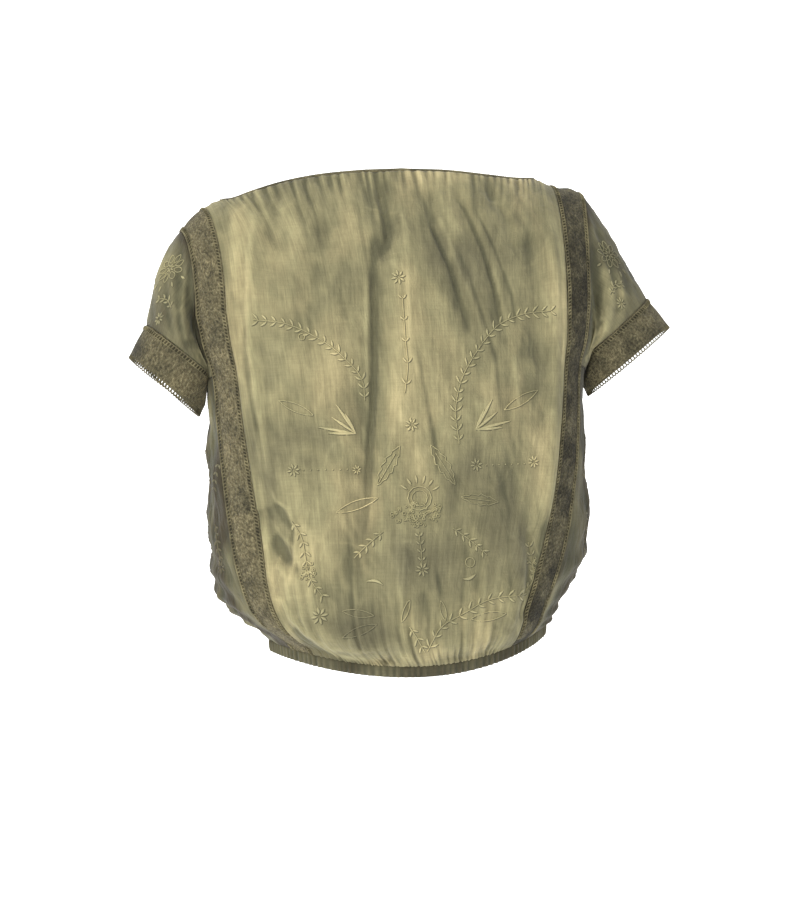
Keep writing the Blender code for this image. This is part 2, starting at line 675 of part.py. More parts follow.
def build():
    clear_scene()
    collection = bpy.data.collections.new("tunic_blouse")
    bpy.context.scene.collection.children.link(collection)
    voile, lace, binding = (make_material(name) for name in ("voile", "lace", "binding"))

    back = panel_grid(-1, BACK_HALF_COLUMNS, BACK_SHOULDER_COLUMNS, BACK_NECK_GATHERS)
    front = panel_grid(1, FRONT_HALF_COLUMNS, FRONT_SHOULDER_COLUMNS, FRONT_NECK_GATHERS)
    make_piece("back_panel", back, voile, CLOTH_WALL, collection)
    make_piece("front_panel", front, voile, CLOTH_WALL, collection)

    for side, word in ((-1, "left"), (1, "right")):
        make_piece(f"lace_band_{word}", band_grid(side), lace, LACE_WALL, collection)
        make_piece(f"side_panel_{word}", side_grid(side), voile, CLOTH_WALL, collection)
        make_piece(f"sleeve_{word}", sleeve_grid(side), voile, CLOTH_WALL, collection, closed=True)
        make_piece(f"cuff_{word}", cuff_grid(side, 0, 1, CUFF_ROWS), lace, LACE_WALL, collection,
                   closed=True)
        edging = cuff_grid(side, 1 + EDGING_GAP / CUFF_LENGTH, 1 + EDGING_SHARE, 1)
        make_piece(f"cuff_edging_{word}", edging, lace, LACE_WALL, collection, closed=True)

    neck = [neck_ring(BINDING_WIDTH), neck_ring(NECK_GAP)]
    make_piece("neck_binding", neck, binding, BINDING_WALL, collection, closed=True)
    hem = [hem_ring(SEAM_GAP, HEM_CRIMP_HEIGHT * HEM_TOP_CRIMP_SHARE),
           hem_ring(HEM_BAND_HEIGHT, HEM_CRIMP_HEIGHT)]
    make_piece("hem_band", hem, voile, LACE_WALL, collection, closed=True)


build()
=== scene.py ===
# Tunic blouse on its frame: thin cloth shells over the solids, with creases, gathers, openwork
# seams, raised whitework and a crocheted edging. Metres, +Z up, the back faces -Y.
import math

import bpy
import numpy as np
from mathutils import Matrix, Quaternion, Vector
from mathutils.bvhtree import BVHTree


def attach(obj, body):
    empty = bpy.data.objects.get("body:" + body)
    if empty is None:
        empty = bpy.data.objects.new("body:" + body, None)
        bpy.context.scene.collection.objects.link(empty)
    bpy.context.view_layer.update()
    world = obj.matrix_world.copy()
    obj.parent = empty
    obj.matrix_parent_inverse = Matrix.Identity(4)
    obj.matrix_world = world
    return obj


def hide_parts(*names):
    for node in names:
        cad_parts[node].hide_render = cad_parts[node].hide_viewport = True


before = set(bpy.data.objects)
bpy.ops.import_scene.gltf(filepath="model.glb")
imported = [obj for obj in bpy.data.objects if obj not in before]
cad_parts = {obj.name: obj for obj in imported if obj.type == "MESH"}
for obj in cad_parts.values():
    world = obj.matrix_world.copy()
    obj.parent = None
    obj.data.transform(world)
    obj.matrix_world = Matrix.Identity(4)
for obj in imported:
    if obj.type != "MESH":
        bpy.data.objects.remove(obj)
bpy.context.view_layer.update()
print("frame loaded:", len(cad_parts), "nodes")


def paint(red, green, blue):
    # 0-255 display colour to the linear colour that shaders take
    values = [value / 255 for value in (red, green, blue)]
    return tuple(v / 12.92 if v <= 0.04045 else ((v + 0.055) / 1.055) ** 2.4 for v in values) + (1.0,)


voileLook = {
    "ramp": [(0.14, (70, 64, 48)), (0.32, (108, 104, 80)), (0.47, (142, 136, 102)),
             (0.60, (167, 156, 117)), (0.80, (194, 180, 136))],
    "cloudScale": 9.0,
    "cloudStretch": (1.0, 1.0, 0.55),
    "mottleScale": 30.0,
    "toneShare": 0.105,
    # colour of the painted shade in troughs, and how much the painted highlight lifts ridges
    "trough": (66, 68, 52),
    "paintedRidgeHighlight": 1.36,
    "roughness": 0.86,
    "sheen": 0.12,
    "weaveBump": 0.55,
}
# streaks across and along each metre of cloth, detail, roughness, darkest and palest
voileYarns = {
    "warp": (900.0, 26.0, 3.0, 0.6, 0.88, 1.10),
    "weft": (30.0, 800.0, 3.0, 0.6, 0.95, 1.05),
    "slub": (210.0, 9.0, 3.0, 0.55, 0.91, 1.08),
    "longSlub": (430.0, 30.0, 2.0, 0.5, 0.91, 1.07),
    "crossSlub": (38.0, 340.0, 2.0, 0.5, 0.96, 1.03),
}
laceLook = {
    "base": (106, 100, 76),
    "dark": (62, 58, 43),
    "light": (136, 127, 96),
    "knotScale": 520.0,
    "toneShare": 0.12,
    "rowScale": 1100.0,
    "roughness": 0.93,
}
trimLook = {"base": (118, 111, 83), "dark": (72, 68, 51), "roughness": 0.9}
# lift paints the thread paler (paler thread plus painted highlight); the pucker factor paints the shadow
# strip darker
threadLook = {"lift": 1.40, "puckerShadow": 0.84, "roughness": 0.6}


class nodeDesk:
    # lays out a material's nodes and joins them
    def __init__(self, name):
        self.material = bpy.data.materials.new(name)
        self.material.use_nodes = True
        self.tree = self.material.node_tree
        self.shader = self.tree.nodes["Principled BSDF"]
        self.column = 0

    def add(self, kind, inputs=None, **settings):
        made = self.tree.nodes.new(kind)
        self.column += 1
        made.location = (-220 * self.column, -140 * (self.column % 4))
        for key, value in settings.items():
            setattr(made, key, value)
        for key, value in (inputs or {}).items():
            self.give(made.inputs[key], value)
        return made

    def give(self, socket, value):
        # a value, or a link from another node
        if isinstance(value, bpy.types.NodeSocket):
            self.tree.links.new(value, socket)
        else:
            socket.default_value = value

    def plus(self, first, second):
        return self.add("ShaderNodeMath", {0: first, 1: second}, operation="ADD").outputs[0]

    def times(self, first, second):
        return self.add("ShaderNodeMath", {0: first, 1: second}, operation="MULTIPLY").outputs[0]

    def painted(self, name):
        return self.add("ShaderNodeAttribute", attribute_name=name).outputs["Fac"]

    def noise(self, vector, scale, detail=3.0, roughness=0.55, distortion=0.0):
        inputs = {"Vector": vector, "Scale": scale, "Detail": detail, "Roughness": roughness,
                  "Distortion": distortion}
        return self.add("ShaderNodeTexNoise", inputs).outputs["Fac"]

    def stretched(self, vector, scale):
        return self.add("ShaderNodeMapping", {"Vector": vector, "Scale": scale}).outputs[0]

    def between(self, value, low, high, newLow, newHigh):
        inputs = {"Value": value, "From Min": low, "From Max": high, "To Min": newLow,
                  "To Max": newHigh}
        return self.add("ShaderNodeMapRange", inputs, clamp=True).outputs[0]

    def ramp(self, value, stops):
        made = self.add("ShaderNodeValToRGB", {0: value})
        points = made.color_ramp.elements
        while len(points) < len(stops):
            points.new(0.5)
        for point, (place, colour) in zip(points, stops):
            point.position = place
            point.color = paint(*colour)
        return made.outputs[0]

    def mix(self, share, first, second):
        made = self.add("ShaderNodeMix", data_type="RGBA")
        sockets = (made.inputs[0], made.inputs[6], made.inputs[7])
        for socket, value in zip(sockets, (share, first, second)):
            self.give(socket, value)
        return made.outputs[2]

    def scaled(self, colour, factor):
        made = self.add("ShaderNodeVectorMath", {0: colour, "Scale": factor}, operation="SCALE")
        return made.outputs[0]

    def bump(self, height, strength, distance, normal=None):
        inputs = {"Height": height, "Strength": strength, "Distance": distance}
        if normal is not None:
            inputs["Normal"] = normal
        return self.add("ShaderNodeBump", inputs).outputs[0]

    def finish(self, colour, roughness, normal, sheen):
        values = {"Base Color": colour, "Roughness": roughness, "Normal": normal,
                  "Sheen Weight": sheen, "Specular IOR Level": 0.25}
        for key, value in values.items():
            self.give(self.shader.inputs[key], value)
        return self.material


def dyeAndPaintedShade(desk, look):
    # cloudy dye: broad clouds, small mottling, tone painted on the mesh; then painted shade in the troughs
    # and a painted highlight on the ridges, both read from the relief attribute
    place = desk.add("ShaderNodeTexCoord").outputs["Object"]
    cloudPlace = desk.stretched(place, look["cloudStretch"])
    clouds = desk.noise(cloudPlace, look["cloudScale"], 4.0, 0.52, 0.35)
    tone = desk.painted("tone")
    relief = desk.painted("relief")
    cloudTone = desk.plus(clouds, desk.times(tone, look["toneShare"]))
    colour = desk.ramp(cloudTone, look["ramp"])
    mottle = desk.noise(desk.stretched(place, (1.0, 1.0, 0.7)), look["mottleScale"], 5.0, 0.66, 0.3)
    colour = desk.scaled(colour, desk.between(mottle, 0.3, 0.7, 0.83, 1.14))
    # painted shade: cloth darkened towards the trough colour where the relief is low
    paintedTroughShade = desk.between(relief, -0.1, -1.0, 0.0, 0.58)
    colour = desk.mix(paintedTroughShade, colour, paint(*look["trough"]))
    # painted highlight: cloth lightened where the relief is high
    colour = desk.scaled(colour, desk.between(relief, 0.15, 1.0, 1.0, look["paintedRidgeHighlight"]))
    return place, colour


def makeVoile():
    desk = nodeDesk("overdyedVoile")
    look = voileLook
    place, colour = dyeAndPaintedShade(desk, look)
    cloth = desk.add("ShaderNodeUVMap", uv_map="clothMap").outputs[0]
    yarns = {}
    for name, (across, along, detail, roughness, dark, pale) in voileYarns.items():
        yarns[name] = desk.noise(desk.stretched(cloth, (across, along, 1.0)), 1.0, detail, roughness)
        colour = desk.scaled(colour, desk.between(yarns[name], 0.3, 0.7, dark, pale))
    crumple = desk.noise(desk.stretched(place, (1.0, 1.0, 0.45)), 95.0, 4.0, 0.6, 0.8)
    weave = desk.plus(desk.times(yarns["warp"], 0.5), desk.times(yarns["weft"], 0.4))
    normal = desk.bump(crumple, 0.7, 0.0034)
    normal = desk.bump(weave, look["weaveBump"], 0.0005, normal)
    rough = desk.between(yarns["warp"], 0.3, 0.7, look["roughness"] - 0.05, look["roughness"] + 0.06)
    return desk.finish(colour, rough, normal, look["sheen"])


def makeThread():
    # raised satin thread in the dye of the cloth under it, painted paler (a paler thread plus a painted
    # highlight), with a painted shadow strip beside it
    desk = nodeDesk("satinThread")
    place, colour = dyeAndPaintedShade(desk, voileLook)
    relief = desk.painted("relief")
    # painted highlight on the thread and painted shadow on the strip beside it
    lift = desk.between(relief, -0.4, 0.3, threadLook["puckerShadow"], threadLook["lift"])
    colour = desk.scaled(colour, lift)
    twist = desk.noise(place, 900.0, 2.0, 0.5)
    normal = desk.bump(twist, 0.4, 0.0003)
    return desk.finish(colour, threadLook["roughness"], normal, 0.1)


def makeLace():
    desk = nodeDesk("knottedLace")
    look = laceLook
    place = desk.add("ShaderNodeTexCoord").outputs["Object"]
    cloth = desk.add("ShaderNodeUVMap", uv_map="clothMap").outputs[0]
    tone = desk.painted("tone")
    clouds = desk.noise(place, 26.0, 5.0, 0.66, 0.4)
    colour = desk.ramp(desk.plus(clouds, desk.times(tone, look["toneShare"])),
                       [(0.34, look["dark"]), (0.50, look["base"]), (0.68, look["light"])])
    inputs = {"Vector": desk.stretched(cloth, (1.0, 0.72, 1.0)), "Scale": look["knotScale"]}
    cells = desk.add("ShaderNodeTexVoronoi", inputs, feature="F1").outputs["Distance"]
    knots = desk.between(cells, 0.0, 0.62, 1.0, 0.0)
    rows = desk.add("ShaderNodeTexWave", {"Vector": cloth, "Scale": look["rowScale"] / 6.28,
                                          "Distortion": 3.0, "Detail": 2.0, "Detail Scale": 2.0},
                    wave_type="BANDS", bands_direction="Y").outputs["Fac"]
    figure = desk.noise(desk.stretched(cloth, (150.0, 90.0, 1.0)), 1.0, 3.0, 0.6, 0.8)
    nubs = desk.noise(desk.stretched(cloth, (330.0, 260.0, 1.0)), 1.0, 2.0, 0.5)
    shade = desk.times(desk.between(knots, 0.0, 1.0, 0.66, 1.22),
                       desk.between(rows, 0.0, 1.0, 0.86, 1.1))
    shade = desk.times(shade, desk.between(figure, 0.35, 0.65, 0.74, 1.24))
    shade = desk.times(shade, desk.between(nubs, 0.34, 0.68, 0.58, 1.46))
    colour = desk.scaled(colour, shade)
    height = desk.plus(knots, desk.times(rows, 0.35))
    normal = desk.bump(figure, 0.7, 0.0014)
    normal = desk.bump(nubs, 0.9, 0.0016, normal)
    normal = desk.bump(height, 0.9, 0.0011, normal)
    return desk.finish(colour, look["roughness"], normal, 0.08)


def makeTrim(name, lift):
    desk = nodeDesk(name)
    look = trimLook
    place = desk.add("ShaderNodeTexCoord").outputs["Object"]
    clouds = desk.noise(place, 60.0, 4.0, 0.6)
    colour = desk.ramp(clouds, [(0.35, look["dark"]), (0.65, look["base"])])
    fibres = desk.noise(place, 1300.0, 3.0, 0.6)
    colour = desk.scaled(colour, desk.times(desk.between(fibres, 0.3, 0.7, 0.85, 1.12), lift))
    normal = desk.bump(fibres, 0.6, 0.0004)
    return desk.finish(colour, look["roughness"], normal, 0.05)


voile = makeVoile()
thread = makeThread()
lace = makeLace()
trim = makeTrim("crochetCotton", 1.0)
ladderThread = makeTrim("ladderThread", 1.62)
openwork = makeTrim("openworkShade", 0.5)
print("materials made")


bothSides = ((-1, "left"), (1, "right"))
walls = {"voile": 0.0011, "lace": 0.0016}
gaps = {"seam": 0.0003, "armhole": 0.0009, "cuff": 0.0008, "edging": 0.0006, "neck": 0.0009}
neckShape = {"shift": -0.018, "halfWidth": 0.212, "backDepth": 0.080, "frontDepth": 0.100,
             "power": 2.2, "frontDrop": 0.050, "bindingWidth": 0.0048}
ridgeLine = np.array([
    (0.000, 0.0635, 0.0635),
    (0.060, 0.061, 0.056),
    (0.117, 0.050, 0.040),
    (0.160, 0.033, 0.025),
    (0.194, 0.013, 0.014),
    (0.219, -0.004, 0.003),
    (0.240, -0.0115, 0.0005),
    (0.262, -0.0265, -0.0135),
    (0.285, -0.051, -0.050)])
yokeReach = {-1: 0.315, 1: 0.300}
bandTop = {-1: (0.252, 0.284), 1: (0.211, 0.257)}
sectionNames = ("zLeft", "zMid", "zRight", "aLeft", "aRight", "bBack", "bFront", "bandIn",
                "bandOut", "shift", "power")
sectionRows = np.array([
    (-0.160, -0.160, -0.160, 0.276, 0.284, 0.130, 0.134, 0.220, 0.256, -0.012, 2.3),
    (-0.204, -0.204, -0.204, 0.268, 0.266, 0.135, 0.139, 0.217, 0.250, -0.010, 2.3),
    (-0.240, -0.240, -0.240, 0.257, 0.250, 0.139, 0.142, 0.212, 0.241, -0.009, 2.3),
    (-0.300, -0.300, -0.300, 0.254, 0.245, 0.143, 0.146, 0.206, 0.237, -0.010, 2.3),
    (-0.385, -0.385, -0.385, 0.257, 0.245, 0.149, 0.150, 0.194, 0.229, -0.013, 2.3),
    (-0.462, -0.470, -0.465, 0.258, 0.243, 0.153, 0.152, 0.178, 0.215, -0.020, 2.3),
    (-0.496, -0.518, -0.503, 0.256, 0.232, 0.153, 0.152, 0.170, 0.204, -0.024, 2.3),
    (-0.524, -0.559, -0.534, 0.249, 0.212, 0.152, 0.150, 0.160, 0.192, -0.025, 2.2),
    (-0.543, -0.587, -0.554, 0.234, 0.199, 0.148, 0.145, 0.150, 0.181, -0.022, 2.2),
    (-0.558, -0.603, -0.567, 0.216, 0.194, 0.140, 0.137, 0.140, 0.169, -0.017, 2.1),
    (-0.572, -0.612, -0.574, 0.198, 0.189, 0.131, 0.128, 0.132, 0.159, -0.012, 2.0),
    (-0.587, -0.618, -0.579, 0.184, 0.184, 0.122, 0.120, 0.126, 0.151, -0.009, 2.0)])
levelNumbers = np.arange(len(sectionRows), dtype=float)
hemLevel = len(sectionRows) - 1
underarmLevel = 2


def runLength(line):
    # distance of each point along a line of points
    return np.concatenate(([0.0], np.cumsum(np.linalg.norm(np.diff(line, axis=0), axis=1))))


def lineAt(line, along, wanted):
    # points at wanted distances along a line
    return np.stack([np.interp(wanted, along, values) for values in line.T], -1)


def curveThrough(places, values, at):
    # smooth curve through places and values
    slopes = np.gradient(values, places)
    at = np.asarray(at, float)
    index = np.clip(np.searchsorted(places, at) - 1, 0, len(places) - 2)
    span = places[index + 1] - places[index]
    t = (at - places[index]) / span
    start = (1 + 2 * t) * (1 - t) ** 2 * values[index] + t * (1 - t) ** 2 * span * slopes[index]
    end = t * t * (3 - 2 * t) * values[index + 1] + t * t * (t - 1) * span * slopes[index + 1]
    return start + end


def smoothStep(value):
    value = np.clip(value, 0.0, 1.0)
    return value * value * (3 - 2 * value)


def section(name, level):
    return curveThrough(levelNumbers, sectionRows[:, sectionNames.index(name)], level)


def ridgeHeight(x, facing):
    reach = np.minimum(np.abs(x), ridgeLine[-1, 0])
    height = np.where(x > 0, curveThrough(ridgeLine[:, 0], ridgeLine[:, 2], reach),
                      curveThrough(ridgeLine[:, 0], ridgeLine[:, 1], reach))
    inside = np.maximum(0.0, 1 - (np.abs(x - neckShape["shift"]) / neckShape["halfWidth"]) ** 2)
    return height - np.where(np.asarray(facing) > 0, neckShape["frontDrop"] * inside, 0.0)


def bodySizes(level, x, facing):
    halfWidth = np.where(x > 0, section("aRight", level), section("aLeft", level))
    halfDepth = np.where(np.asarray(facing) > 0, section("bFront", level), section("bBack", level))
    return halfWidth, halfDepth, section("power", level)


def bodyPoint(level, x, facing):
    halfWidth, halfDepth, power = bodySizes(level, x, facing)
    fullness = 1 - np.minimum(np.abs(x) / halfWidth, 1.0) ** power
    zSide = np.where(x > 0, section("zRight", level), section("zLeft", level))
    zMid = section("zMid", level)
    return np.stack(np.broadcast_arrays(x, facing * halfDepth * fullness ** (1 / power),
                                        zSide + (zMid - zSide) * fullness), -1)


def unit(vectors):
    return vectors / np.maximum(np.linalg.norm(vectors, axis=-1, keepdims=True), 1e-12)


def bodyOutward(level, x, facing):
    halfWidth, halfDepth, power = bodySizes(level, x, facing)
    share = np.minimum(np.abs(x) / halfWidth, 1.0)
    side = np.copysign(share ** (power - 1) / halfWidth, x)
    face = facing * (1 - share ** power) ** ((power - 1) / power) / halfDepth
    return unit(np.stack(np.broadcast_arrays(side, face, 0.0), -1))


def yokePoint(x, turn, facing):
    halfWidth, halfDepth, power = bodySizes(0.0, x, facing)
    halfWidth = halfWidth + (np.where(x > 0, yokeReach[1], yokeReach[-1]) - halfWidth) * np.sin(turn)
    depth = halfDepth * (1 - np.minimum(np.abs(x) / halfWidth, 1.0) ** power) ** (1 / power)
    chest = section("zMid", 0.0)
    return np.stack(np.broadcast_arrays(x, facing * depth * np.cos(turn),
                                        chest + (ridgeHeight(x, facing) - chest) * np.sin(turn)), -1)


def yokeTurn(x, y, facing):
    low = np.zeros(np.broadcast(x, y).shape)
    high = np.full(low.shape, math.pi / 2)
    for _ in range(40):
        middle = (low + high) / 2
        outside = np.abs(yokePoint(x, middle, facing)[..., 1]) > np.abs(y)
        low, high = np.where(outside, middle, low), np.where(outside, high, middle)
    return low


def neckPlan(facing, shares):
    # plan points of half the neck edge; shares run from its middle to the shoulder
    depth = neckShape["frontDepth"] if facing > 0 else neckShape["backDepth"]
    angles = np.linspace(0, math.pi / 2, 400)
    xs = neckShape["halfWidth"] * np.sin(angles) ** (2 / neckShape["power"])
    ys = depth * np.cos(angles) ** (2 / neckShape["power"])
    ys[-1] = 0.0
    along = np.concatenate(([0.0], np.cumsum(np.hypot(np.diff(xs), np.diff(ys)))))
    wanted = shares * along[-1]
    return np.interp(wanted, along, xs), facing * np.interp(wanted, along, ys)


def clothForm(topX, topTurn, bodyX, row, facing):
    # smooth cloth from the neck or shoulder (row 0) over the chest (row 1) to the hem (row 12)
    level = np.maximum(row - 1, 0.0)
    x = topX + (bodyX(level) - topX) * smoothStep(np.minimum(row, 1.0)) ** 0.8
    turn = topTurn * np.maximum(1 - row, 0.0)
    onYoke = np.broadcast_to((row < 1)[..., None], x.shape + (1,))
    point = np.where(onYoke, yokePoint(x, turn, facing), bodyPoint(level, x, facing))
    outward = bodyOutward(level, x, facing) * np.cos(turn)[..., None]
    outward[..., 2] += np.sin(turn)
    return point, unit(outward)


def foldRelief(points, facing, folds, fade=0.14, least=0.15):
    # heights are out of the cloth, so troughs are negative
    relief = np.zeros(points.shape[:-1])
    place = points[..., (0, 2)] * 1000
    for height, width, *path in folds[facing]:
        knots = np.array(path)
        lengths = np.linalg.norm(np.diff(knots, axis=0), axis=1)
        nearest = np.full(relief.shape, 1e9)
        along = np.zeros(relief.shape)
        passed = 0.0
        for start, end, length in zip(knots, knots[1:], lengths):
            share = np.clip(((place - start) @ (end - start)) / length ** 2, 0.0, 1.0)
            distance = np.linalg.norm(place - (start + (end - start) * share[..., None]), axis=-1)
            closer = distance < nearest
            nearest = np.where(closer, distance, nearest)
            along = np.where(closer, (passed + share * length) / lengths.sum(), along)
            passed += length
        ends = smoothStep(along / fade) * smoothStep((1 - along) / fade)
        relief += height / 1000 * np.exp(-(nearest / width) ** 2) * np.maximum(ends, least)
    return relief


def softNoise(u, v, cellU, cellV, seed):
    # smooth random waves of about one cell, from -1 to 1
    u, v = np.asarray(u) / cellU + 1000.0, np.asarray(v) / cellV + 1000.0
    table = np.random.default_rng(seed).uniform(-1, 1, (64, 64))
    iu, iv = np.floor(u).astype(int), np.floor(v).astype(int)
    fu, fv = smoothStep(u - iu), smoothStep(v - iv)
    a, b = table[iu % 64, iv % 64], table[(iu + 1) % 64, iv % 64]
    c, d = table[iu % 64, (iv + 1) % 64], table[(iu + 1) % 64, (iv + 1) % 64]
    return (a * (1 - fu) + b * fu) * (1 - fv) + (c * (1 - fu) + d * fu) * fv


def creaseNet(u, v, cellU, cellV, seed):
    # thin ridges along the seams of a soft noise, from 0 to 1
    waves = softNoise(u, v, cellU, cellV, seed)
    return np.maximum(0.0, 1 - np.abs(waves) * 7.0) ** 2


def crumpled(u, v, layers, shift=0):
    # layers of waves added up: kind, depth, lean, cell across, cell along and seed of each
    total = 0.0
    for wave, depth, lean, across, along, seed in layers:
        total = total + depth * wave(u + lean * v, v, across, along, seed + shift)
    return total


# folds that the solids have too, by facing: height and width in millimetres, then points of the path
mainFolds = {
    -1: [
        (-7, 11, (-32, 10), (-27, -66), (-36, -110)),
        (-6.5, 18, (-45, -80), (-51, -160), (-58, -228), (-69, -323), (-80, -415), (-90, -520)),
        (4, 20, (-15, -60), (-20, -200), (-35, -340)),
        (-4.5, 15, (-100, -30), (-117, -99), (-132, -178), (-134, -240)),
        (-4.5, 10, (27, 6), (33, -55), (60, -147), (74, -215)),
        (-4.5, 10, (66, 0), (80, -67), (104, -129), (117, -205)),
        (-4, 9, (104, 4), (129, -42), (140, -100)),
        (-3.5, 10, (-160, 0), (-172, -60), (-176, -120)),
        (4, 9, (-190, -20), (-203, -141), (-206, -244), (-199, -309), (-190, -362), (-182, -410)),
        (6, 10, (190, -40), (190, -150), (182, -300), (168, -400), (152, -470)),
        (-6, 14, (160, -60), (160, -160), (164, -250)),
        (-7, 14, (-196, -405), (-182, -450), (-172, -485)),
        (6, 18, (-150, -420), (-160, -500), (-140, -560)),
        (6, 14, (-176, -535), (-146, -566), (-80, -590), (-20, -586)),
        (-7.5, 10, (-160, -585), (-115, -606), (-80, -612), (-30, -606)),
        (-5, 12, (10, -607), (60, -610), (110, -602)),
        (-6, 9, (138, -440), (142, -500), (126, -570)),
        (5.5, 10, (120, -455), (122, -520), (108, -580)),
        (-4.5, 16, (40, -360), (56, -450), (60, -545)),
    ],
    1: [
        (-6, 14, (30, -45), (36, -120), (50, -220), (58, -330)),
        (-5, 13, (-60, -40), (-72, -110), (-90, -200), (-94, -300)),
        (-4.5, 10, (-120, -10), (-140, -70), (-150, -150)),
        (-4.5, 11, (110, -15), (132, -80), (146, -170)),
        (6, 10, (186, -50), (186, -160), (178, -300), (162, -420)),
        (6, 10, (-194, -50), (-196, -160), (-188, -290), (-172, -400)),
        (-6, 18, (0, -300), (-10, -400), (-20, -520)),
        (-6, 15, (110, -420), (120, -500), (104, -580)),
        (-6, 15, (-120, -430), (-128, -510), (-110, -582)),
        (-6.5, 12, (-140, -594), (-70, -608), (10, -604), (80, -610)),
    ],
}

# narrow creases that only the cloth shows, in the same columns
fineCreases = {
    -1: [
        (1.6, 3.5, (-216, -25), (-223, -128)),
        (1.8, 3.2, (-189, -28), (-203, -110), (-209, -192)),
        (3.6, 2.8, (-202, -136), (-203, -199), (-198, -256), (-193, -301), (-187, -357),
         (-184, -392)),
        (-2, 3.4, (-209, -150), (-210, -210), (-206, -262), (-200, -306), (-195, -350)),
        (-2.2, 4.5, (-30, -4), (-26, -66), (-34, -100)),
        (-4.2, 3.8, (-46, -50), (-49, -155), (-52, -231), (-57, -293), (-64, -343), (-69, -405),
         (-78, -470)),
        (2.2, 3.2, (-57, -90), (-59, -170), (-63, -250), (-68, -300)),
        (-3, 2.6, (22, -10), (30, -60), (48, -109), (62, -157), (74, -205)),
        (1.3, 3, (34, -20), (56, -100), (78, -160), (96, -230)),
        (-2.8, 2.4, (62, -14), (77, -37), (96, -94), (112, -158), (118, -200)),
        (-1.6, 2.2, (84, -24), (108, -85), (130, -150), (136, -210)),
        (1.2, 3.4, (92, -60), (112, -130), (128, -220), (134, -330)),
        (2.8, 2.6, (200, -30), (203, -120), (201, -220), (194, -320), (180, -390), (164, -450),
         (150, -500)),
        (-1.4, 3, (46, -50), (76, -130), (104, -230), (110, -320)),
        (-1.4, 2.6, (-128, 6), (-116, -40), (-114, -80)),
        (-1.2, 2.6, (-60, 20), (-62, -60), (-52, -140)),
        (1.2, 3, (-10, 10), (-4, -80), (-6, -160), (-12, -280)),
        (-1.3, 3.4, (0, -190), (8, -260), (20, -340), (22, -400)),
        (-1.2, 3, (100, -360), (112, -420), (108, -480), (112, -560)),
        (-1.4, 2.8, (10, -470), (18, -520), (14, -570), (22, -604)),
        (1.3, 3, (-30, -420), (-36, -480), (-30, -560)),
        (2.2, 3.2, (-200, -360), (-197, -400), (-196, -440), (-190, -490), (-182, -535)),
        (1.8, 3.2, (-192, -420), (-176, -446), (-158, -462), (-150, -500)),
        (-2.6, 7.5, (-190, -440), (-176, -462), (-160, -484), (-154, -500)),
        (1.6, 3.6, (-182, -470), (-170, -500), (-168, -540)),
        (3, 3, (-186, -510), (-162, -552), (-136, -583), (-108, -600), (-72, -606), (-50, -602)),
        (-2.6, 5, (-176, -545), (-150, -576), (-122, -600), (-90, -611)),
        (2, 3.6, (-41, -579), (-30, -600), (-20, -614)),
        (-1.4, 4, (92, -560), (88, -590), (80, -606)),
        (2.2, 2.8, (152, -440), (142, -480), (144, -520), (128, -560), (120, -600)),
        (1.6, 2.8, (132, -470), (128, -510), (134, -545), (116, -590)),
        (3.4, 2.6, (178, -400), (170, -440), (160, -480), (154, -520), (142, -560), (130, -596)),
        (-3, 4.2, (168, -420), (158, -460), (148, -510), (134, -560)),
        (2.4, 2.2, (122, -500), (130, -530), (120, -556), (124, -590)),
        (-2.4, 6, (-186, -395), (-172, -420), (-160, -440), (-164, -470)),
        (2.6, 2.4, (-190, -372), (-180, -402), (-166, -412), (-156, -440), (-160, -480),
         (-172, -520)),
        (2.4, 2.4, (-140, -430), (-136, -470), (-142, -510), (-138, -560)),
        (2.2, 2.2, (-160, -560), (-120, -588), (-90, -594), (-50, -590)),
    ],
    1: [
        (1.6, 4, (80, -60), (92, -140), (98, -230)),
        (1.6, 4, (-30, -70), (-40, -150), (-48, -240)),
        (-1.8, 4.5, (34, -60), (42, -150), (52, -240)),
        (1.8, 4, (-150, -560), (-110, -592), (-60, -604)),
        (1.8, 4.5, (160, -420), (172, -470), (160, -520)),
    ],
}

# where the dye came out paler (+) or darker (-): x, z, half width, half height in millimetres, tone
dyePatches = {
    -1: [
        (-110, -60, 50, 50, -0.5), (-190, -60, 35, 60, 0.5), (30, -90, 30, 80, -0.7),
        (110, -60, 60, 60, 0.7), (150, -170, 45, 60, 0.6), (-120, -170, 60, 60, 0.5),
        (160, -260, 30, 80, -0.8), (20, -230, 30, 60, -0.3), (-10, -150, 20, 80, 0.6),
        (100, -330, 40, 70, 0.4), (-140, -330, 60, 60, -0.2), (60, -470, 80, 50, -0.5),
        (-90, -480, 50, 60, -0.3), (-170, -500, 40, 90, 1.3), (150, -520, 30, 70, -0.4),
        (-60, -570, 80, 30, -0.8), (20, -560, 50, 40, 0.5), (130, -590, 50, 30, -0.8),
        (80, -590, 50, 25, 0.4), (0, -520, 190, 80, 0.15), (130, -480, 60, 110, -0.5),
        (-60, -300, 20, 200, -0.5), (10, -410, 60, 50, 0.5), (160, -340, 50, 80, 0.6),
        (60, -280, 40, 50, -0.5), (-200, -300, 18, 90, -0.4),
    ],
    1: [
        (-100, -80, 60, 50, -0.5), (120, -150, 50, 70, 0.6), (0, -180, 60, 60, 0.5),
        (-130, -280, 50, 80, -0.5), (60, -330, 60, 60, -0.5), (-20, -430, 70, 50, 0.5),
        (110, -480, 60, 60, -0.6), (-110, -520, 70, 60, -0.5), (0, -560, 120, 50, -0.5),
    ],
}


def toneAt(points, facing):
    tone = np.zeros(points.shape[:-1])
    x, z = points[..., 0] * 1000, points[..., 2] * 1000
    for middle, height, halfWidth, halfHeight, amount in dyePatches.get(facing, ()):
        away = ((x - middle) / halfWidth) ** 2 + ((z - height) / halfHeight) ** 2
        tone += amount * np.exp(-away)
    return tone


def topFade(row):
    return 0.3 + 0.7 * smoothStep((row - 0.004) / 0.06)


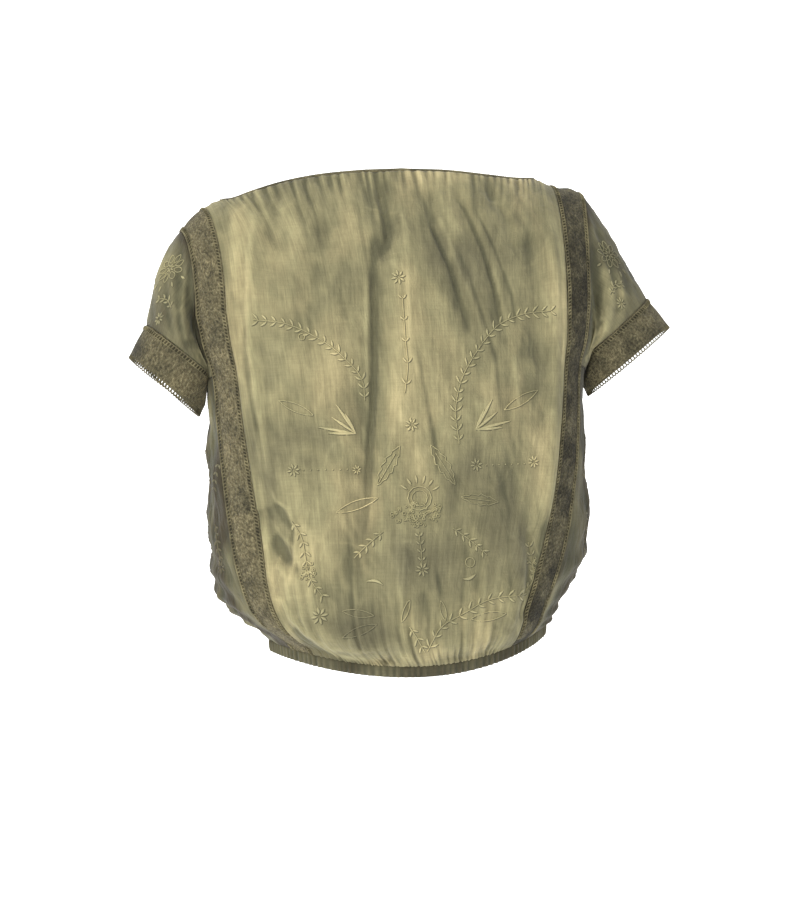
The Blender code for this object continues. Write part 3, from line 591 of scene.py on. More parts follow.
def bottomFade(row):
    return smoothStep((hemLevel + 1 - row - 0.1) / 1.5)


def inScene(name, data):
    made = bpy.data.objects.new(name, data)
    bpy.context.scene.collection.objects.link(made)
    return made


def dress(mesh, material, relief, tone):
    # the shader reads relief, which it turns into painted shade and painted highlight, and tone at each
    # point
    for label, values in (("relief", relief), ("tone", tone)):
        attribute = mesh.attributes.new(label, "FLOAT", "POINT")
        if values is not None:
            attribute.data.foreach_set("value", np.asarray(values, np.float32).ravel())
    mesh.shade_smooth()
    mesh.materials.append(material)


def shellFrom(name, points, cloth, thickness, material, closed=False, relief=None, tone=None):
    # a thin shell through a grid of points; cloth gives its place on the flat cut, in metres
    rows, columns = points.shape[:2]
    steps = columns if closed else columns - 1
    up = np.arange(rows - 1)[:, None] * columns
    here = np.arange(steps)[None, :]
    after = (here + 1) % columns
    faces = np.stack([up + here, up + columns + here, up + columns + after, up + after], -1)
    wide = cloth.shape[1]
    upMap = np.arange(rows - 1)[:, None] * wide
    corners = np.stack([upMap + here, upMap + wide + here, upMap + wide + here + 1,
                        upMap + here + 1], -1)
    mesh = bpy.data.meshes.new(name)
    mesh.from_pydata(points.reshape(-1, 3).tolist(), [], faces.reshape(-1, 4).tolist())
    layer = mesh.uv_layers.new(name="clothMap")
    layer.data.foreach_set("uv", cloth.reshape(-1, 2)[corners.reshape(-1)].astype(np.float32).ravel())
    dress(mesh, material, relief, tone)
    shell = inScene(name, mesh)
    solidify = shell.modifiers.new("wall", "SOLIDIFY")
    solidify.thickness = thickness
    solidify.offset = -1
    return shell


def settle(piece, slot, *nodes):
    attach(piece, "root")
    if nodes:
        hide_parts(*nodes)
    return piece


def flatMap(points, closed=False):
    # place of each grid point on the cloth: width along the middle row, length down each column
    across = points
    if closed:
        across = np.concatenate([points, points[:, :1]], 1)
    middle = across[across.shape[0] // 2]
    width = runLength(middle)
    steps = np.linalg.norm(np.diff(across, axis=0), axis=2).mean(1)
    length = np.concatenate(([0.0], np.cumsum(steps)))
    grid = np.zeros(across.shape[:2] + (2,))
    grid[..., 0] = width[None, :]
    grid[..., 1] = -length[:, None]
    return grid


def evenRows(pointAt, low, high, count):
    # row numbers that lie evenly along the cloth
    dense = np.linspace(low, high, 600)
    line = pointAt(dense)
    along = runLength(line)
    return np.interp(np.linspace(0, along[-1], count), along, dense)


panels = {
    -1: {"name": "back_cloth", "node": "back_panel", "columns": 208, "rows": 228, "gathers": 44,
         "neckShare": 36 / 40, "seed": 5},
    1: {"name": "front_cloth", "node": "front_panel", "columns": 150, "rows": 150, "gathers": 40,
        "neckShare": 25 / 28, "seed": 8},
}


# gathers under the neck binding and over the hem; each draws its own depth, width, length and lean
gatherKinds = [
    {"more": 0, "reach": 0.97, "depth": (0.0012, 0.0036), "width": (0.007, 0.013),
     "length": (0.10, 0.42), "lean": (-0.05, 0.05), "spread": 1.6, "ending": 1.4},
    {"more": 8, "reach": 0.98, "depth": (0.0014, 0.0038), "width": (0.007, 0.012),
     "length": (1.6, 4.2), "lean": (-0.012, 0.012), "spread": 0.22, "ending": 1.5},
]


def gatherRelief(share, row, panel):
    random = np.random.default_rng(panel["seed"])
    relief = np.zeros(np.broadcast(share, row).shape)
    for kind, distance in zip(gatherKinds, (row, hemLevel + 1 - row)):
        spots = np.cumsum(random.uniform(0.6, 1.4, panel["gathers"] + kind["more"]))
        spots = kind["reach"] * (2 * (spots - spots[0]) / (spots[-1] - spots[0]) - 1)
        for spot in spots:
            depth, width, length, lean = (random.uniform(*kind[drawn])
                                          for drawn in ("depth", "width", "length", "lean"))
            away = share - spot - lean * distance
            wide = width * (1 + kind["spread"] * distance)
            shape = -np.exp(-(away / wide) ** 2) + 0.7 * np.exp(-((away - 1.7 * wide) / wide) ** 2)
            relief += depth * shape * np.exp(-(distance / length) ** kind["ending"])
    return relief


panelCreases = {
    "swell": [(softNoise, 0.0012, 0.0, 0.030, 0.075, 21), (softNoise, 0.0009, 0.0, 0.013, 0.034, 22)],
    "small": [(softNoise, 0.0005, 0.2, 0.006, 0.016, 23)],
    "long": [(creaseNet, 0.0009, 0.12, 0.045, 0.16, 24)],
    "short": [(creaseNet, 0.0007, -0.3, 0.030, 0.07, 25)],
    "corner": [(creaseNet, 0.0014, 0.0, 0.016, 0.05, 27)],
}


def makePanel(facing):
    panel = panels[facing]
    share = -facing * np.linspace(-1, 1, panel["columns"])
    side = np.where(share > 0, 1, -1)
    neckShare = np.minimum(np.abs(share) / panel["neckShare"], 1.0)
    neckX, neckY = neckPlan(facing, neckShare)
    outer = side * (np.where(share > 0, bandTop[1][0], bandTop[-1][0]) - gaps["seam"] / 2)
    corner = side * neckShape["halfWidth"] + neckShape["shift"]
    past = np.clip((np.abs(share) - panel["neckShare"]) / (1 - panel["neckShare"]), 0, 1)
    topX = np.where(past > 0, corner + (outer - corner) * past, side * neckX + neckShape["shift"])
    topY = np.where(past > 0, 0.0, neckY)
    topY = facing * np.maximum(np.abs(topY), gaps["seam"] / 2)
    topTurn = yokeTurn(topX, topY, facing)

    def bodyX(level):
        return share * (section("bandIn", level) - gaps["seam"] / 2) + section("shift", level)

    def middle(rows):
        index = panel["columns"] // 2
        whole = clothForm(topX[None, :], topTurn[None, :], bodyX, rows[:, None], facing)[0]
        return whole[:, index]

    rows = evenRows(middle, 0.0, hemLevel + 1.0, panel["rows"])[:, None]
    base, outward = clothForm(topX[None, :], topTurn[None, :], bodyX, rows, facing)
    window = 1 - np.abs(share)[None, :] ** 10
    folds = foldRelief(base, facing, mainFolds)
    fine = foldRelief(base, facing, fineCreases, 0.24, 0.0)
    gathered = gatherRelief(share[None, :], rows, panel) * window
    x, z = base[..., 0], base[..., 2]
    swell, small, long, short = (crumpled(x, z, panelCreases[kind])
                                 for kind in ("swell", "small", "long", "short"))
    patchy = smoothStep(softNoise(x, z, 0.10, 0.10, 26) * 1.5 + 0.5)
    corner = smoothStep((np.abs(x + 0.02) - 0.09) / 0.06) * smoothStep((-z - 0.38) / 0.10)
    small = small + long * patchy + short * (1 - patchy)
    small = small + corner * crumpled(x + 0.5 * z * np.sign(x), z, panelCreases["corner"])
    fade = topFade(rows) * bottomFade(rows)
    edge = 0.35 + 0.65 * bottomFade(rows)
    total = (folds + (fine + swell + small) * window) * fade + gathered * topFade(rows) * edge
    points = base + outward * total[..., None]
    # painted shade and highlight of the folds, creases and gathers, made stronger for the gathers just
    # under the neck
    nearTop = 1 + 1.4 * np.exp(-rows / 0.12)
    shade = (fine * 1.7 + swell * 0.9 + small * 1.6 + gathered * nearTop + folds * 0.26) / 0.0026
    piece = shellFrom(panel["name"], points, flatMap(points), walls["voile"], voile,
                      relief=np.clip(shade, -1, 1), tone=toneAt(points, facing))
    print(panel["name"], "made")
    return settle(piece, "voile", panel["node"]), points


backCloth, backPoints = makePanel(-1)
frontCloth, frontPoints = makePanel(1)


# tone per side: the left band is painted lighter and the right band painted darker, as the key light falls
# from the left
bandShape = {"columns": 15, "rows": 420, "tone": {-1: 1.1, 1: -0.9}}


def bandEdgeX(side, share):
    def bodyX(level):
        inner = section("bandIn", level) + gaps["seam"] / 2
        outer = section("bandOut", level) - gaps["seam"] / 2
        return side * (inner + (outer - inner) * share) + section("shift", level)
    return bodyX


def bandTopX(side, share):
    inner, outer = bandTop[side][0] + gaps["seam"] / 2, bandTop[side][1] - gaps["seam"] / 2
    return side * (inner + (outer - inner) * share)


def bandPoints(side, share, count, lift=0.0):
    # rows from the back hem over the shoulder to the front hem
    share = np.atleast_1d(share)
    halves = []
    for facing in (-1, 1):
        def middle(rows, facing=facing):
            return clothForm(bandTopX(side, 0.5), math.pi / 2, bandEdgeX(side, 0.5), rows, facing)[0]
        rows = evenRows(middle, 0.0, hemLevel + 1.0, count // 2 + 1)[:, None]
        base, outward = clothForm(bandTopX(side, share)[None, :], math.pi / 2,
                                  bandEdgeX(side, share[None, :]), rows, facing)
        folds = foldRelief(base, facing, mainFolds)
        above = hemLevel + 1 - rows
        y, z = base[..., 1], base[..., 2]
        window = np.sin(math.pi * share)[None, :]
        puff = (0.0013 * window + 0.0009 * softNoise(share * 3, z, 1.0, 0.012, 31 + side) * window
                + 0.0008 * softNoise(y * 0, z, 1.0, 0.045, 33 + side))
        puff = puff + 0.0016 * np.exp(-above / 1.3) * np.sin(share * 9 + side)[None, :] * window
        fade = topFade(rows) * bottomFade(rows)
        halves.append(base + outward * (folds * fade + puff * bottomFade(rows) + lift)[..., None])
    return np.concatenate([halves[0][::-1], halves[1][1:]])


for side, word in bothSides:
    shares = np.linspace(0, 1, bandShape["columns"])
    points = bandPoints(side, shares, bandShape["rows"])
    points = points[:, ::-1] if side > 0 else points
    # random clouds of tone, plus the painted light and shade of each side
    tone = 0.4 * softNoise(points[..., 1], points[..., 2], 0.05, 0.05, 40 + side)
    piece = shellFrom("lace_" + word, points, flatMap(points), walls["lace"], lace,
                      tone=tone + bandShape["tone"][side])
    settle(piece, "lace", "lace_band_" + word)
print("lace bands made")


sideShape = {"columns": 74, "rows": 120, "crumple": 0.0026, "drop": 0.005}
sideCreases = [(softNoise, 0.0026, 0.25, 0.015, 0.110, 50), (softNoise, 0.0012, -0.3, 0.006, 0.030, 52),
               (creaseNet, 0.0013, 0.4, 0.024, 0.11, 56), (creaseNet, 0.0012, -0.3, 0.020, 0.08, 58)]


def sideAngle(level, side, facing):
    x = side * (section("bandOut", level) + gaps["seam"] / 2) + section("shift", level)
    halfWidth, halfDepth, power = bodySizes(level, x, facing)
    return np.arcsin((np.abs(x) / halfWidth) ** (power / 2))


def sideForm(level, side, share):
    back, front = sideAngle(level, side, -1), math.pi - sideAngle(level, side, 1)
    angle = back + (front - back) * share
    facing = np.where(angle <= math.pi / 2, -1, 1)
    halfWidth, halfDepth, power = bodySizes(level, np.full(angle.shape, float(side)), facing)
    x = side * halfWidth * np.sin(angle) ** (2 / power)
    return bodyPoint(level, x, facing), bodyOutward(level, x, facing), facing


def makeSide(side, word):
    share = np.linspace(0, 1, sideShape["columns"])[None, :]

    def middle(levels):
        return sideForm(levels[:, None], side, np.array([[0.5]]))[0][:, 0]

    level = evenRows(middle, underarmLevel, hemLevel, sideShape["rows"])[:, None]
    base, outward, facing = sideForm(level, side, share)
    window = np.sqrt(np.maximum(np.sin(math.pi * share), 0))
    folds = np.where(facing < 0, foldRelief(base, -1, mainFolds), foldRelief(base, 1, mainFolds))
    fade = bottomFade(level + 1)
    crumple = sideShape["crumple"] * np.sin(5.3 * level + 7 * share + side) * window
    crumple = crumple * smoothStep((level - underarmLevel) / 2)
    y, z = base[..., 1], base[..., 2]
    creases = crumpled(y, z, sideCreases, side) * window
    above = hemLevel - level
    gathers = 0.0026 * np.sin(share * 34 + 1.5 * np.sin(share * 11)) * np.exp(-above / 1.6) * window
    total = (folds + crumple + creases) * fade + gathers * (0.35 + 0.65 * fade)
    points = base + outward * total[..., None]
    top = np.exp(-(level - underarmLevel) / 0.25)
    points[..., 2] -= sideShape["drop"] * np.sin(math.pi * share) * top
    # painted shade: the side panels lie in shadow under the arms, so their relief is shifted towards shade
    # and their tone set far darker, with random mottling
    shade = np.clip((creases * 1.9 + gathers - 0.0010) / 0.0026, -1, 1)
    tone = np.full(points.shape[:2], -3.0) + 2.4 * softNoise(y, z, 0.024, 0.06, 54 + side)
    if side < 0:
        points, shade, tone = points[:, ::-1], shade[:, ::-1], tone[:, ::-1]
    piece = shellFrom("side_" + word, points, flatMap(points), walls["voile"], voile,
                      relief=shade, tone=tone)
    return settle(piece, "voile", "side_panel_" + word), points


sideMade = {side: makeSide(side, word) for side, word in bothSides}
sidePoints = {side: made[1] for side, made in sideMade.items()}
print("side panels made")


cuffShape = {
    -1: {"seamTop": (0.331, -0.169), "seamUnder": (0.243, -0.244), "edgeTop": (0.352, -0.205),
         "edgeUnder": (0.263, -0.284), "bulge": 0.018},
    1: {"seamTop": (0.341, -0.149), "seamUnder": (0.238, -0.234), "edgeTop": (0.368, -0.184),
        "edgeUnder": (0.256, -0.272), "bulge": 0.010},
}
cuffSizes = {"seamDepth": 0.056, "edgeDepth": 0.059, "length": 0.040,
             "frontDrop": {-1: -0.004, 1: 0.006}, "dropLean": {-1: 0.9, 1: 0.0},
             "clearance": 0.0045, "columns": 220, "rows": 14}
sleeveShape = {"columns": 190, "rows": 46, "tone": {-1: -1.5, 1: -0.4}, "trough": 0.012,
               "troughPlace": 0.22, "troughWidth": 0.20, "ripple": 0.0021, "around": 0.44,
               "length": 0.12}
sleeveCreases = [(softNoise, 0.0026, 10 / 12, 0.016, 0.096, 60), (softNoise, 0.0011, -0.5, 0.008, 0.03, 62),
                 (creaseNet, 0.0013, 5 / 12, 0.030, 0.09, 66)]


def armholeLoop(side, count):
    # shoulder, front band edge, underarm, back band edge
    def edgeX(level):
        return side * (section("bandOut", level) + gaps["seam"] / 2) + section("shift", level)

    topX = side * (bandTop[side][1] + gaps["seam"] / 2)
    rows = np.linspace(0, 1 + underarmLevel, 120)
    lines = []
    for facing in (1, -1):
        base, outward = clothForm(np.full(rows.shape, topX), np.full(rows.shape, math.pi / 2),
                                  edgeX, rows, facing)
        folds = foldRelief(base, facing, mainFolds) * topFade(rows)
        lines.append(base + outward * folds[:, None])
    share = np.linspace(1, 0, 60)[1:-1]
    under = sideForm(np.full(share.shape, float(underarmLevel)), side, share)[0]
    under[:, 2] -= sideShape["drop"] * np.sin(math.pi * share)
    loop = np.concatenate([lines[0], under, lines[1][:0:-1]])
    bottom = section("zMid", float(underarmLevel))
    loop[:, 2] += gaps["seam"] * smoothStep(1 - (loop[:, 2] - bottom) / 0.012)
    loop[:, 0] += side * (gaps["armhole"] - gaps["seam"])
    ring = np.concatenate([loop, loop[:1]])
    along = runLength(ring)
    wanted = np.linspace(0, along[-1], count + 1)[:-1]
    return lineAt(ring, along, wanted)


def clearOfBody(points, side):
    levels = np.linspace(0, 5, 60)
    level = np.interp(-points[..., 2], -section("zRight", levels), levels)
    facing = np.where(points[..., 1] > 0, 1, -1)
    halfWidth, halfDepth, power = bodySizes(level, np.full(level.shape, float(side)), facing)
    share = np.minimum(np.abs(points[..., 1]) / halfDepth, 1.0)
    limit = halfWidth * (1 - share ** power) ** (1 / power) + cuffSizes["clearance"]
    low = points[..., 2] < section("zMid", float(underarmLevel)) + cuffSizes["length"]
    inside = low & (side * points[..., 0] < limit)
    points[..., 0] = np.where(inside, side * limit, points[..., 0])
    return points


def cuffPoint(side, share, along):
    # share runs round from the top over the front, along from the seam to the edge
    cuff = cuffShape[side]
    share, along = np.broadcast_arrays(share, along)
    angle = 2 * math.pi * share
    ends = {key: np.array(cuff[key]) for key in ("seamTop", "seamUnder", "edgeTop", "edgeUnder")}
    top = ends["seamTop"] + (ends["edgeTop"] - ends["seamTop"]) * along[..., None]
    under = ends["seamUnder"] + (ends["edgeUnder"] - ends["seamUnder"]) * along[..., None]
    depth = cuffSizes["seamDepth"] + (cuffSizes["edgeDepth"] - cuffSizes["seamDepth"]) * along
    place = (top + under) / 2 + (top - under) / 2 * np.cos(angle)[..., None]
    drop = cuffSizes["frontDrop"][side] * (1 + cuffSizes["dropLean"][side] * np.cos(angle))
    drop = drop * np.sin(angle) * (0.3 + 0.7 * along)
    points = np.stack([side * place[..., 0], depth * np.sin(angle), place[..., 1] - drop], -1)
    return clearOfBody(points, side)


def cuffOutward(side, share, along):
    step = 1e-3
    down = cuffPoint(side, share, along + step) - cuffPoint(side, share, along - step)
    around = cuffPoint(side, share + step, along) - cuffPoint(side, share - step, along)
    normal = unit(np.cross(down, around))
    return normal * side


def makeSleeve(side, word):
    count, rows = sleeveShape["columns"], sleeveShape["rows"]
    loop = armholeLoop(side, count)
    share = np.arange(count) / count
    end = cuffPoint(side, share, -gaps["cuff"] / cuffSizes["length"])
    angle = 2 * math.pi * share
    radial = unit(np.stack([side * 0.8 * np.cos(angle), np.sin(angle), 0.6 * np.cos(angle)], -1))
    bulge = cuffShape[side]["bulge"] * np.maximum(0.0, 0.35 + 0.65 * np.cos(angle))
    control = (loop + end) / 2 + radial * bulge[:, None]
    s = np.linspace(0, 1, rows)[:, None]
    weights = ((1 - s) ** 2, 2 * s * (1 - s), s * s)
    points = sum(weight[..., None] * line[None] for weight, line in zip(weights, (loop, control, end)))
    trough = sleeveShape["trough"] * np.sin(angle) ** 2 * (np.cos(angle) > -0.75)
    trough = trough * np.exp(-((s - sleeveShape["troughPlace"]) / sleeveShape["troughWidth"]) ** 2)
    ripple = sleeveShape["ripple"] * np.sin(3 * angle + 2.0 * s + side) * np.sin(math.pi * s)
    u = share[None, :] * sleeveShape["around"] + 0 * s
    window = np.sin(math.pi * s) ** 0.6
    length = np.linalg.norm(end - loop, axis=1)[None, :]
    room = smoothStep(length / 0.06)
    creases = crumpled(u, s * sleeveShape["length"], sleeveCreases, side) * window * room
    points = points - radial * (trough + ripple - creases)[..., None]
    shade = np.clip((creases - 0.25 * trough) / 0.0020, -1, 1)
    tone = sleeveShape["tone"][side] + 1.2 * softNoise(u, s, 0.03, 0.4, 64 + side)
    # painted shade in the deep fold where the sleeve leaves the band
    tone = tone - 2.2 * np.exp(-s / 0.10)
    if side < 0:
        points, shade, tone = points[:, ::-1], shade[:, ::-1], tone[:, ::-1]
    piece = shellFrom("sleeve_cloth_" + word, points, flatMap(points, True), walls["voile"], voile,
                      closed=True, relief=shade, tone=tone)
    return settle(piece, "voile", "sleeve_" + word), points


def makeCuff(side, word):
    count = cuffSizes["columns"]
    share = np.arange(count)[None, :] / count
    along = np.linspace(0, 1, cuffSizes["rows"])[:, None]
    points = cuffPoint(side, share, along)
    outward = cuffOutward(side, share, along)
    puff = 0.0007 * np.sin(math.pi * along) + 0.0005 * softNoise(share * 40, along, 1.0, 0.9, 70 + side)
    points = points + outward * (puff * np.sin(math.pi * np.clip(along, 0.02, 0.98)))[..., None]
    tone = 0.7 + 0.6 * softNoise(share * 12, along, 1.0, 1.0, 72 + side)
    points, tone = (points, tone) if side > 0 else (points[:, ::-1], tone[:, ::-1])
    piece = shellFrom("cuff_cloth_" + word, points, flatMap(points, True), walls["lace"], lace,
                      closed=True, tone=tone)
    return settle(piece, "lace", "cuff_" + word)


sleeveMade = {side: makeSleeve(side, word) for side, word in bothSides}
sleevePoints = {side: made[1] for side, made in sleeveMade.items()}
cuffs = {side: makeCuff(side, word) for side, word in bothSides}
print("sleeves and cuffs made")


hemShape = {"columns": 1200, "rows": 7, "height": 0.013, "lap": 0.0016, "crimps": 128,
            "crimp": 0.0013, "wall": 0.0016, "tone": -2.8}


def makeHem():
    angle = np.linspace(0, 2 * math.pi, hemShape["columns"] + 1)[:-1] - math.pi / 2
    facing = np.where(np.cos(angle) >= 0, -1, 1)
    x = section("aRight", float(hemLevel)) * np.sin(angle)
    base = bodyPoint(float(hemLevel), x, facing)
    outward = bodyOutward(float(hemLevel), x, facing)
    share = (angle + math.pi / 2) / (2 * math.pi)
    phase = 2 * math.pi * hemShape["crimps"] * share + 2.2 * softNoise(share * 60, share * 0, 1, 1, 81)
    heights = 0.75 + 0.5 * softNoise(share * 90, share * 0, 1.0, 1.0, 82)
    down = np.linspace(0, 1, hemShape["rows"])[:, None]
    crimp = hemShape["crimp"] * np.sin(phase)[None, :] * heights * (0.55 + 0.45 * down)
    puff = 0.0009 * np.sin(math.pi * down) + 0.0014 * (1 - down) ** 2
    points = base[None] + outward[None] * (crimp + puff)[..., None]
    points[..., 2] -= down * (hemShape["height"] + hemShape["lap"]) - hemShape["lap"]
    # painted shade in the crimp hollows and painted highlight on the crests, shifted towards shade overall
    relief = np.clip(crimp / hemShape["wall"], -1, 1) - 0.35
    tone = np.full(points.shape[:2], hemShape["tone"])
    piece = shellFrom("hem_casing", points, flatMap(points, True), hemShape["wall"], voile,
                      closed=True, relief=relief, tone=tone)
    return settle(piece, "voile", "hem_band")


hemPiece = makeHem()
print("hem casing made")


class threadWork:
    # gathers the small raised pieces of one mesh
    def __init__(self):
        self.vertices, self.faces, self.shades = [], [], []

    def strip(self, rows, shade=0.0):
        # rows of points, each row the same length
        start, wide = len(self.vertices), len(rows[0])
        for row in rows:
            self.vertices.extend(tuple(point) for point in row)
        self.shades.extend([shade] * (len(rows) * wide))
        for index in range(len(rows) - 1):
            for step in range(wide - 1):
                a = start + index * wide + step
                self.faces.append((a, a + wide, a + wide + 1, a + 1))

    def tube(self, points, normals, across, up, sides=5, closed=False, shade=0.0):
        # a cord along points, flattened to across by up
        points, normals = np.asarray(points), np.asarray(normals)
        if closed:
            ahead = np.roll(points, -1, 0) - np.roll(points, 1, 0)
        else:
            ahead = np.gradient(points, axis=0)
        ahead = unit(ahead)
        sideways = unit(np.cross(ahead, normals))
        start, count = len(self.vertices), len(points)
        for turn in range(sides):
            angle = 2 * math.pi * turn / sides
            ring = points + sideways * (math.cos(angle) * across) + normals * (math.sin(angle) * up)
            self.vertices.extend(tuple(point) for point in ring)
        self.shades.extend([shade] * (sides * count))
        steps = count if closed else count - 1
        for turn in range(sides):
            after = (turn + 1) % sides
            for step in range(steps):
                beyond = (step + 1) % count
                self.faces.append((start + turn * count + step, start + turn * count + beyond,
                                   start + after * count + beyond, start + after * count + step))

    def piece(self, name, material, facing=0, shade=0.0):
        mesh = bpy.data.meshes.new(name)
        mesh.from_pydata(self.vertices, [], self.faces)
        tone = toneAt(np.array(self.vertices), facing) + shade
        dress(mesh, material, self.shades, tone)
        return inScene(name, mesh)


def toward(turn):
    return np.array([math.cos(turn), math.sin(turn)])


# heights and the shift of the painted shadow strip in millimetres; shine is the relief that paints the
# thread's highlight
stitchShape = {"leafHeight": 1.15, "cordHeight": 0.9, "shine": 0.5, "shadowStripShift": (0.6, -0.6)}


class whitework(threadWork):
    # raised satin stitches cast on one cloth; places are millimetres along right and up
    def __init__(self, cloth, closed, origin, right, up):
        super().__init__()
        rows, columns = cloth.shape[:2]
        steps = columns if closed else columns - 1
        quads = [(row * columns + step, (row + 1) * columns + step,
                  (row + 1) * columns + (step + 1) % columns, row * columns + (step + 1) % columns)
                 for row in range(rows - 1) for step in range(steps)]
        self.tree = BVHTree.FromPolygons(cloth.reshape(-1, 3).tolist(), quads)
        self.origin, self.right, self.up = np.array(origin), unit(np.array(right)), unit(np.array(up))
        self.out = np.cross(self.right, self.up)

    def cast(self, places, height=0.0):
        # points on the cloth under the places, raised by height millimetres
        found, normals = [], []
        for u, v in places:
            start = self.origin + self.right * (u / 1000) + self.up * (v / 1000)
            place, normal, _, _ = self.tree.ray_cast(Vector(start + self.out * 0.3), Vector(-self.out))
            if place is None:
                return None, None
            normal = np.array(normal)
            found.append(np.array(place))
            normals.append(normal if normal @ self.out > 0 else -normal)
        found, normals = np.array(found), np.array(normals)
        raised = np.asarray(height, dtype=float).reshape(-1, 1) / 1000
        return found + normals * raised, normals

    def domed(self, line, halves, height, shade, shift=(0.0, 0.0)):
        # a strip along line that is halves wide at each place and domed in between
        line, halves = np.array(line, dtype=float) + np.array(shift), np.asarray(halves)
        ahead = unit(np.gradient(line, axis=0))
        sideways = np.stack([-ahead[:, 1], ahead[:, 0]], -1)
        offsets = np.array([-1.0, -0.6, 0.0, 0.6, 1.0])
        rises = np.array([-0.05, 0.75, 1.0, 0.75, -0.05])
        places = line[:, None] + sideways[:, None] * halves[:, None, None] * offsets[None, :, None]
        scale = np.minimum(1.0, halves / max(halves.max(), 1e-6) + 0.25)
        heights = scale[:, None] * rises[None] * height
        points, _ = self.cast(places.reshape(-1, 2), heights.reshape(-1) + 0.12)
        if points is not None:
            self.strip(points.reshape(len(line), 5, 3), shade)

    def stitch(self, line, halves, height):
        # the thread, and a dark strip beside it, shifted right and down, that paints the shadow of the
        # raised thread and the pucker of the cloth
        self.domed(line, np.asarray(halves) * 1.2 + 0.35, 0.06, -1.0, stitchShape["shadowStripShift"])
        self.domed(line, halves, height, stitchShape["shine"])

    def leaf(self, base, tip, width, bend=0.0):
        share = np.linspace(0.0, 1.0, 8)
        base, tip = np.array(base, dtype=float), np.array(tip, dtype=float)
        way = tip - base
        across = np.array([-way[1], way[0]])
        line = base + way * share[:, None] + across * (bend * np.sin(math.pi * share))[:, None]
        halves = width / 2 * np.sin(math.pi * np.clip(share, 0.03, 0.97)) ** 0.75
        self.stitch(line, halves, stitchShape["leafHeight"])

    def cord(self, path, width=1.1):
        knots = np.array(path, dtype=float)
        along = runLength(knots)
        places = np.linspace(0, along[-1], max(4, int(along[-1] / 3) + 2))
        line = np.stack([curveThrough(along, knots[:, axis], places) for axis in (0, 1)], -1)
        self.stitch(line, np.full(len(line), width / 2), stitchShape["cordHeight"])
        return line

    def outlined(self, base, tip, width, teeth=0):
        # a leaf of two thin cords, with toothed edges where teeth is more than 0
        base, tip = np.array(base, dtype=float), np.array(tip, dtype=float)
        way = tip - base
        across = np.array([-way[1], way[0]]) / np.linalg.norm(way)
        share = np.linspace(0.0, 1.0, max(9, 4 * teeth + 1))
        for side in (-1, 1):
            reach = width / 2 * np.sin(math.pi * share) ** 0.8
            if teeth:
                reach = reach * (0.62 + 0.5 * (1 - (share * teeth) % 1.0))
            line = base + way * share[:, None] + across * (side * reach)[:, None]
            self.stitch(line, np.full(len(line), 0.5), stitchShape["cordHeight"])
        if teeth:
            self.cord([base, base + way * 0.8], 0.8)

    def rays(self, centre, turns, near, far, width):
        for turn in turns:
            self.leaf(centre + toward(turn) * near, centre + toward(turn) * far, width)

    def star(self, centre, radius, petals=8):
        turns = 2 * math.pi * (np.arange(petals) + 0.25) / petals
        self.rays(centre, turns, radius * 0.22, radius, radius * 0.30)

    def ring(self, centre, radius, width=0.9):
        turns = np.linspace(0, 2 * math.pi, 13)
        line = centre + radius * np.stack([np.cos(turns), np.sin(turns)], -1)
        self.stitch(line, np.full(13, width / 2), stitchShape["cordHeight"])

    def dots(self, start, end, count):
        for share in np.linspace(0, 1, count):
            place = np.array(start) + (np.array(end) - np.array(start)) * share
            self.leaf(place - (0.9, 0.1), place + (0.9, 0.1), 1.6)

    def spray(self, path, length, gap, opening=0.75, width=2.4):
        # leaves in pairs along a stem
        line = self.cord(path, 0.9)
        along = runLength(line)
        for place in np.arange(gap * 0.4, along[-1], gap):
            before, spot, beyond = (lineAt(line, along, place + step) for step in (-1, 0, 1))
            heading = math.atan2(*(beyond - before)[::-1])
            for side in (-1, 1):
                way = toward(heading + side * opening)
                self.leaf(spot + way * 0.8, spot + way * length * (0.85 + 0.3 * ((place * 7.3) % 1)),
                          width, 0.05 * side)

    def daisy(self, centre, radius):
        self.star(centre, radius * 0.34, 7)
        for index in range(9):
            way = toward(2 * math.pi * index / 9 + 0.3)
            self.outlined(centre + way * radius * 0.36, centre + way * radius, radius * 0.36)

    def knots(self, centre, halfWide, halfHigh, count, seed):
        random = np.random.default_rng(seed)
        for _ in range(count):
            turn, away = random.uniform(0, 2 * math.pi), math.sqrt(random.uniform(0, 1))
            place = centre + toward(turn) * (halfWide, halfHigh) * away
            self.ring(place, random.uniform(1.0, 1.9), 0.8)


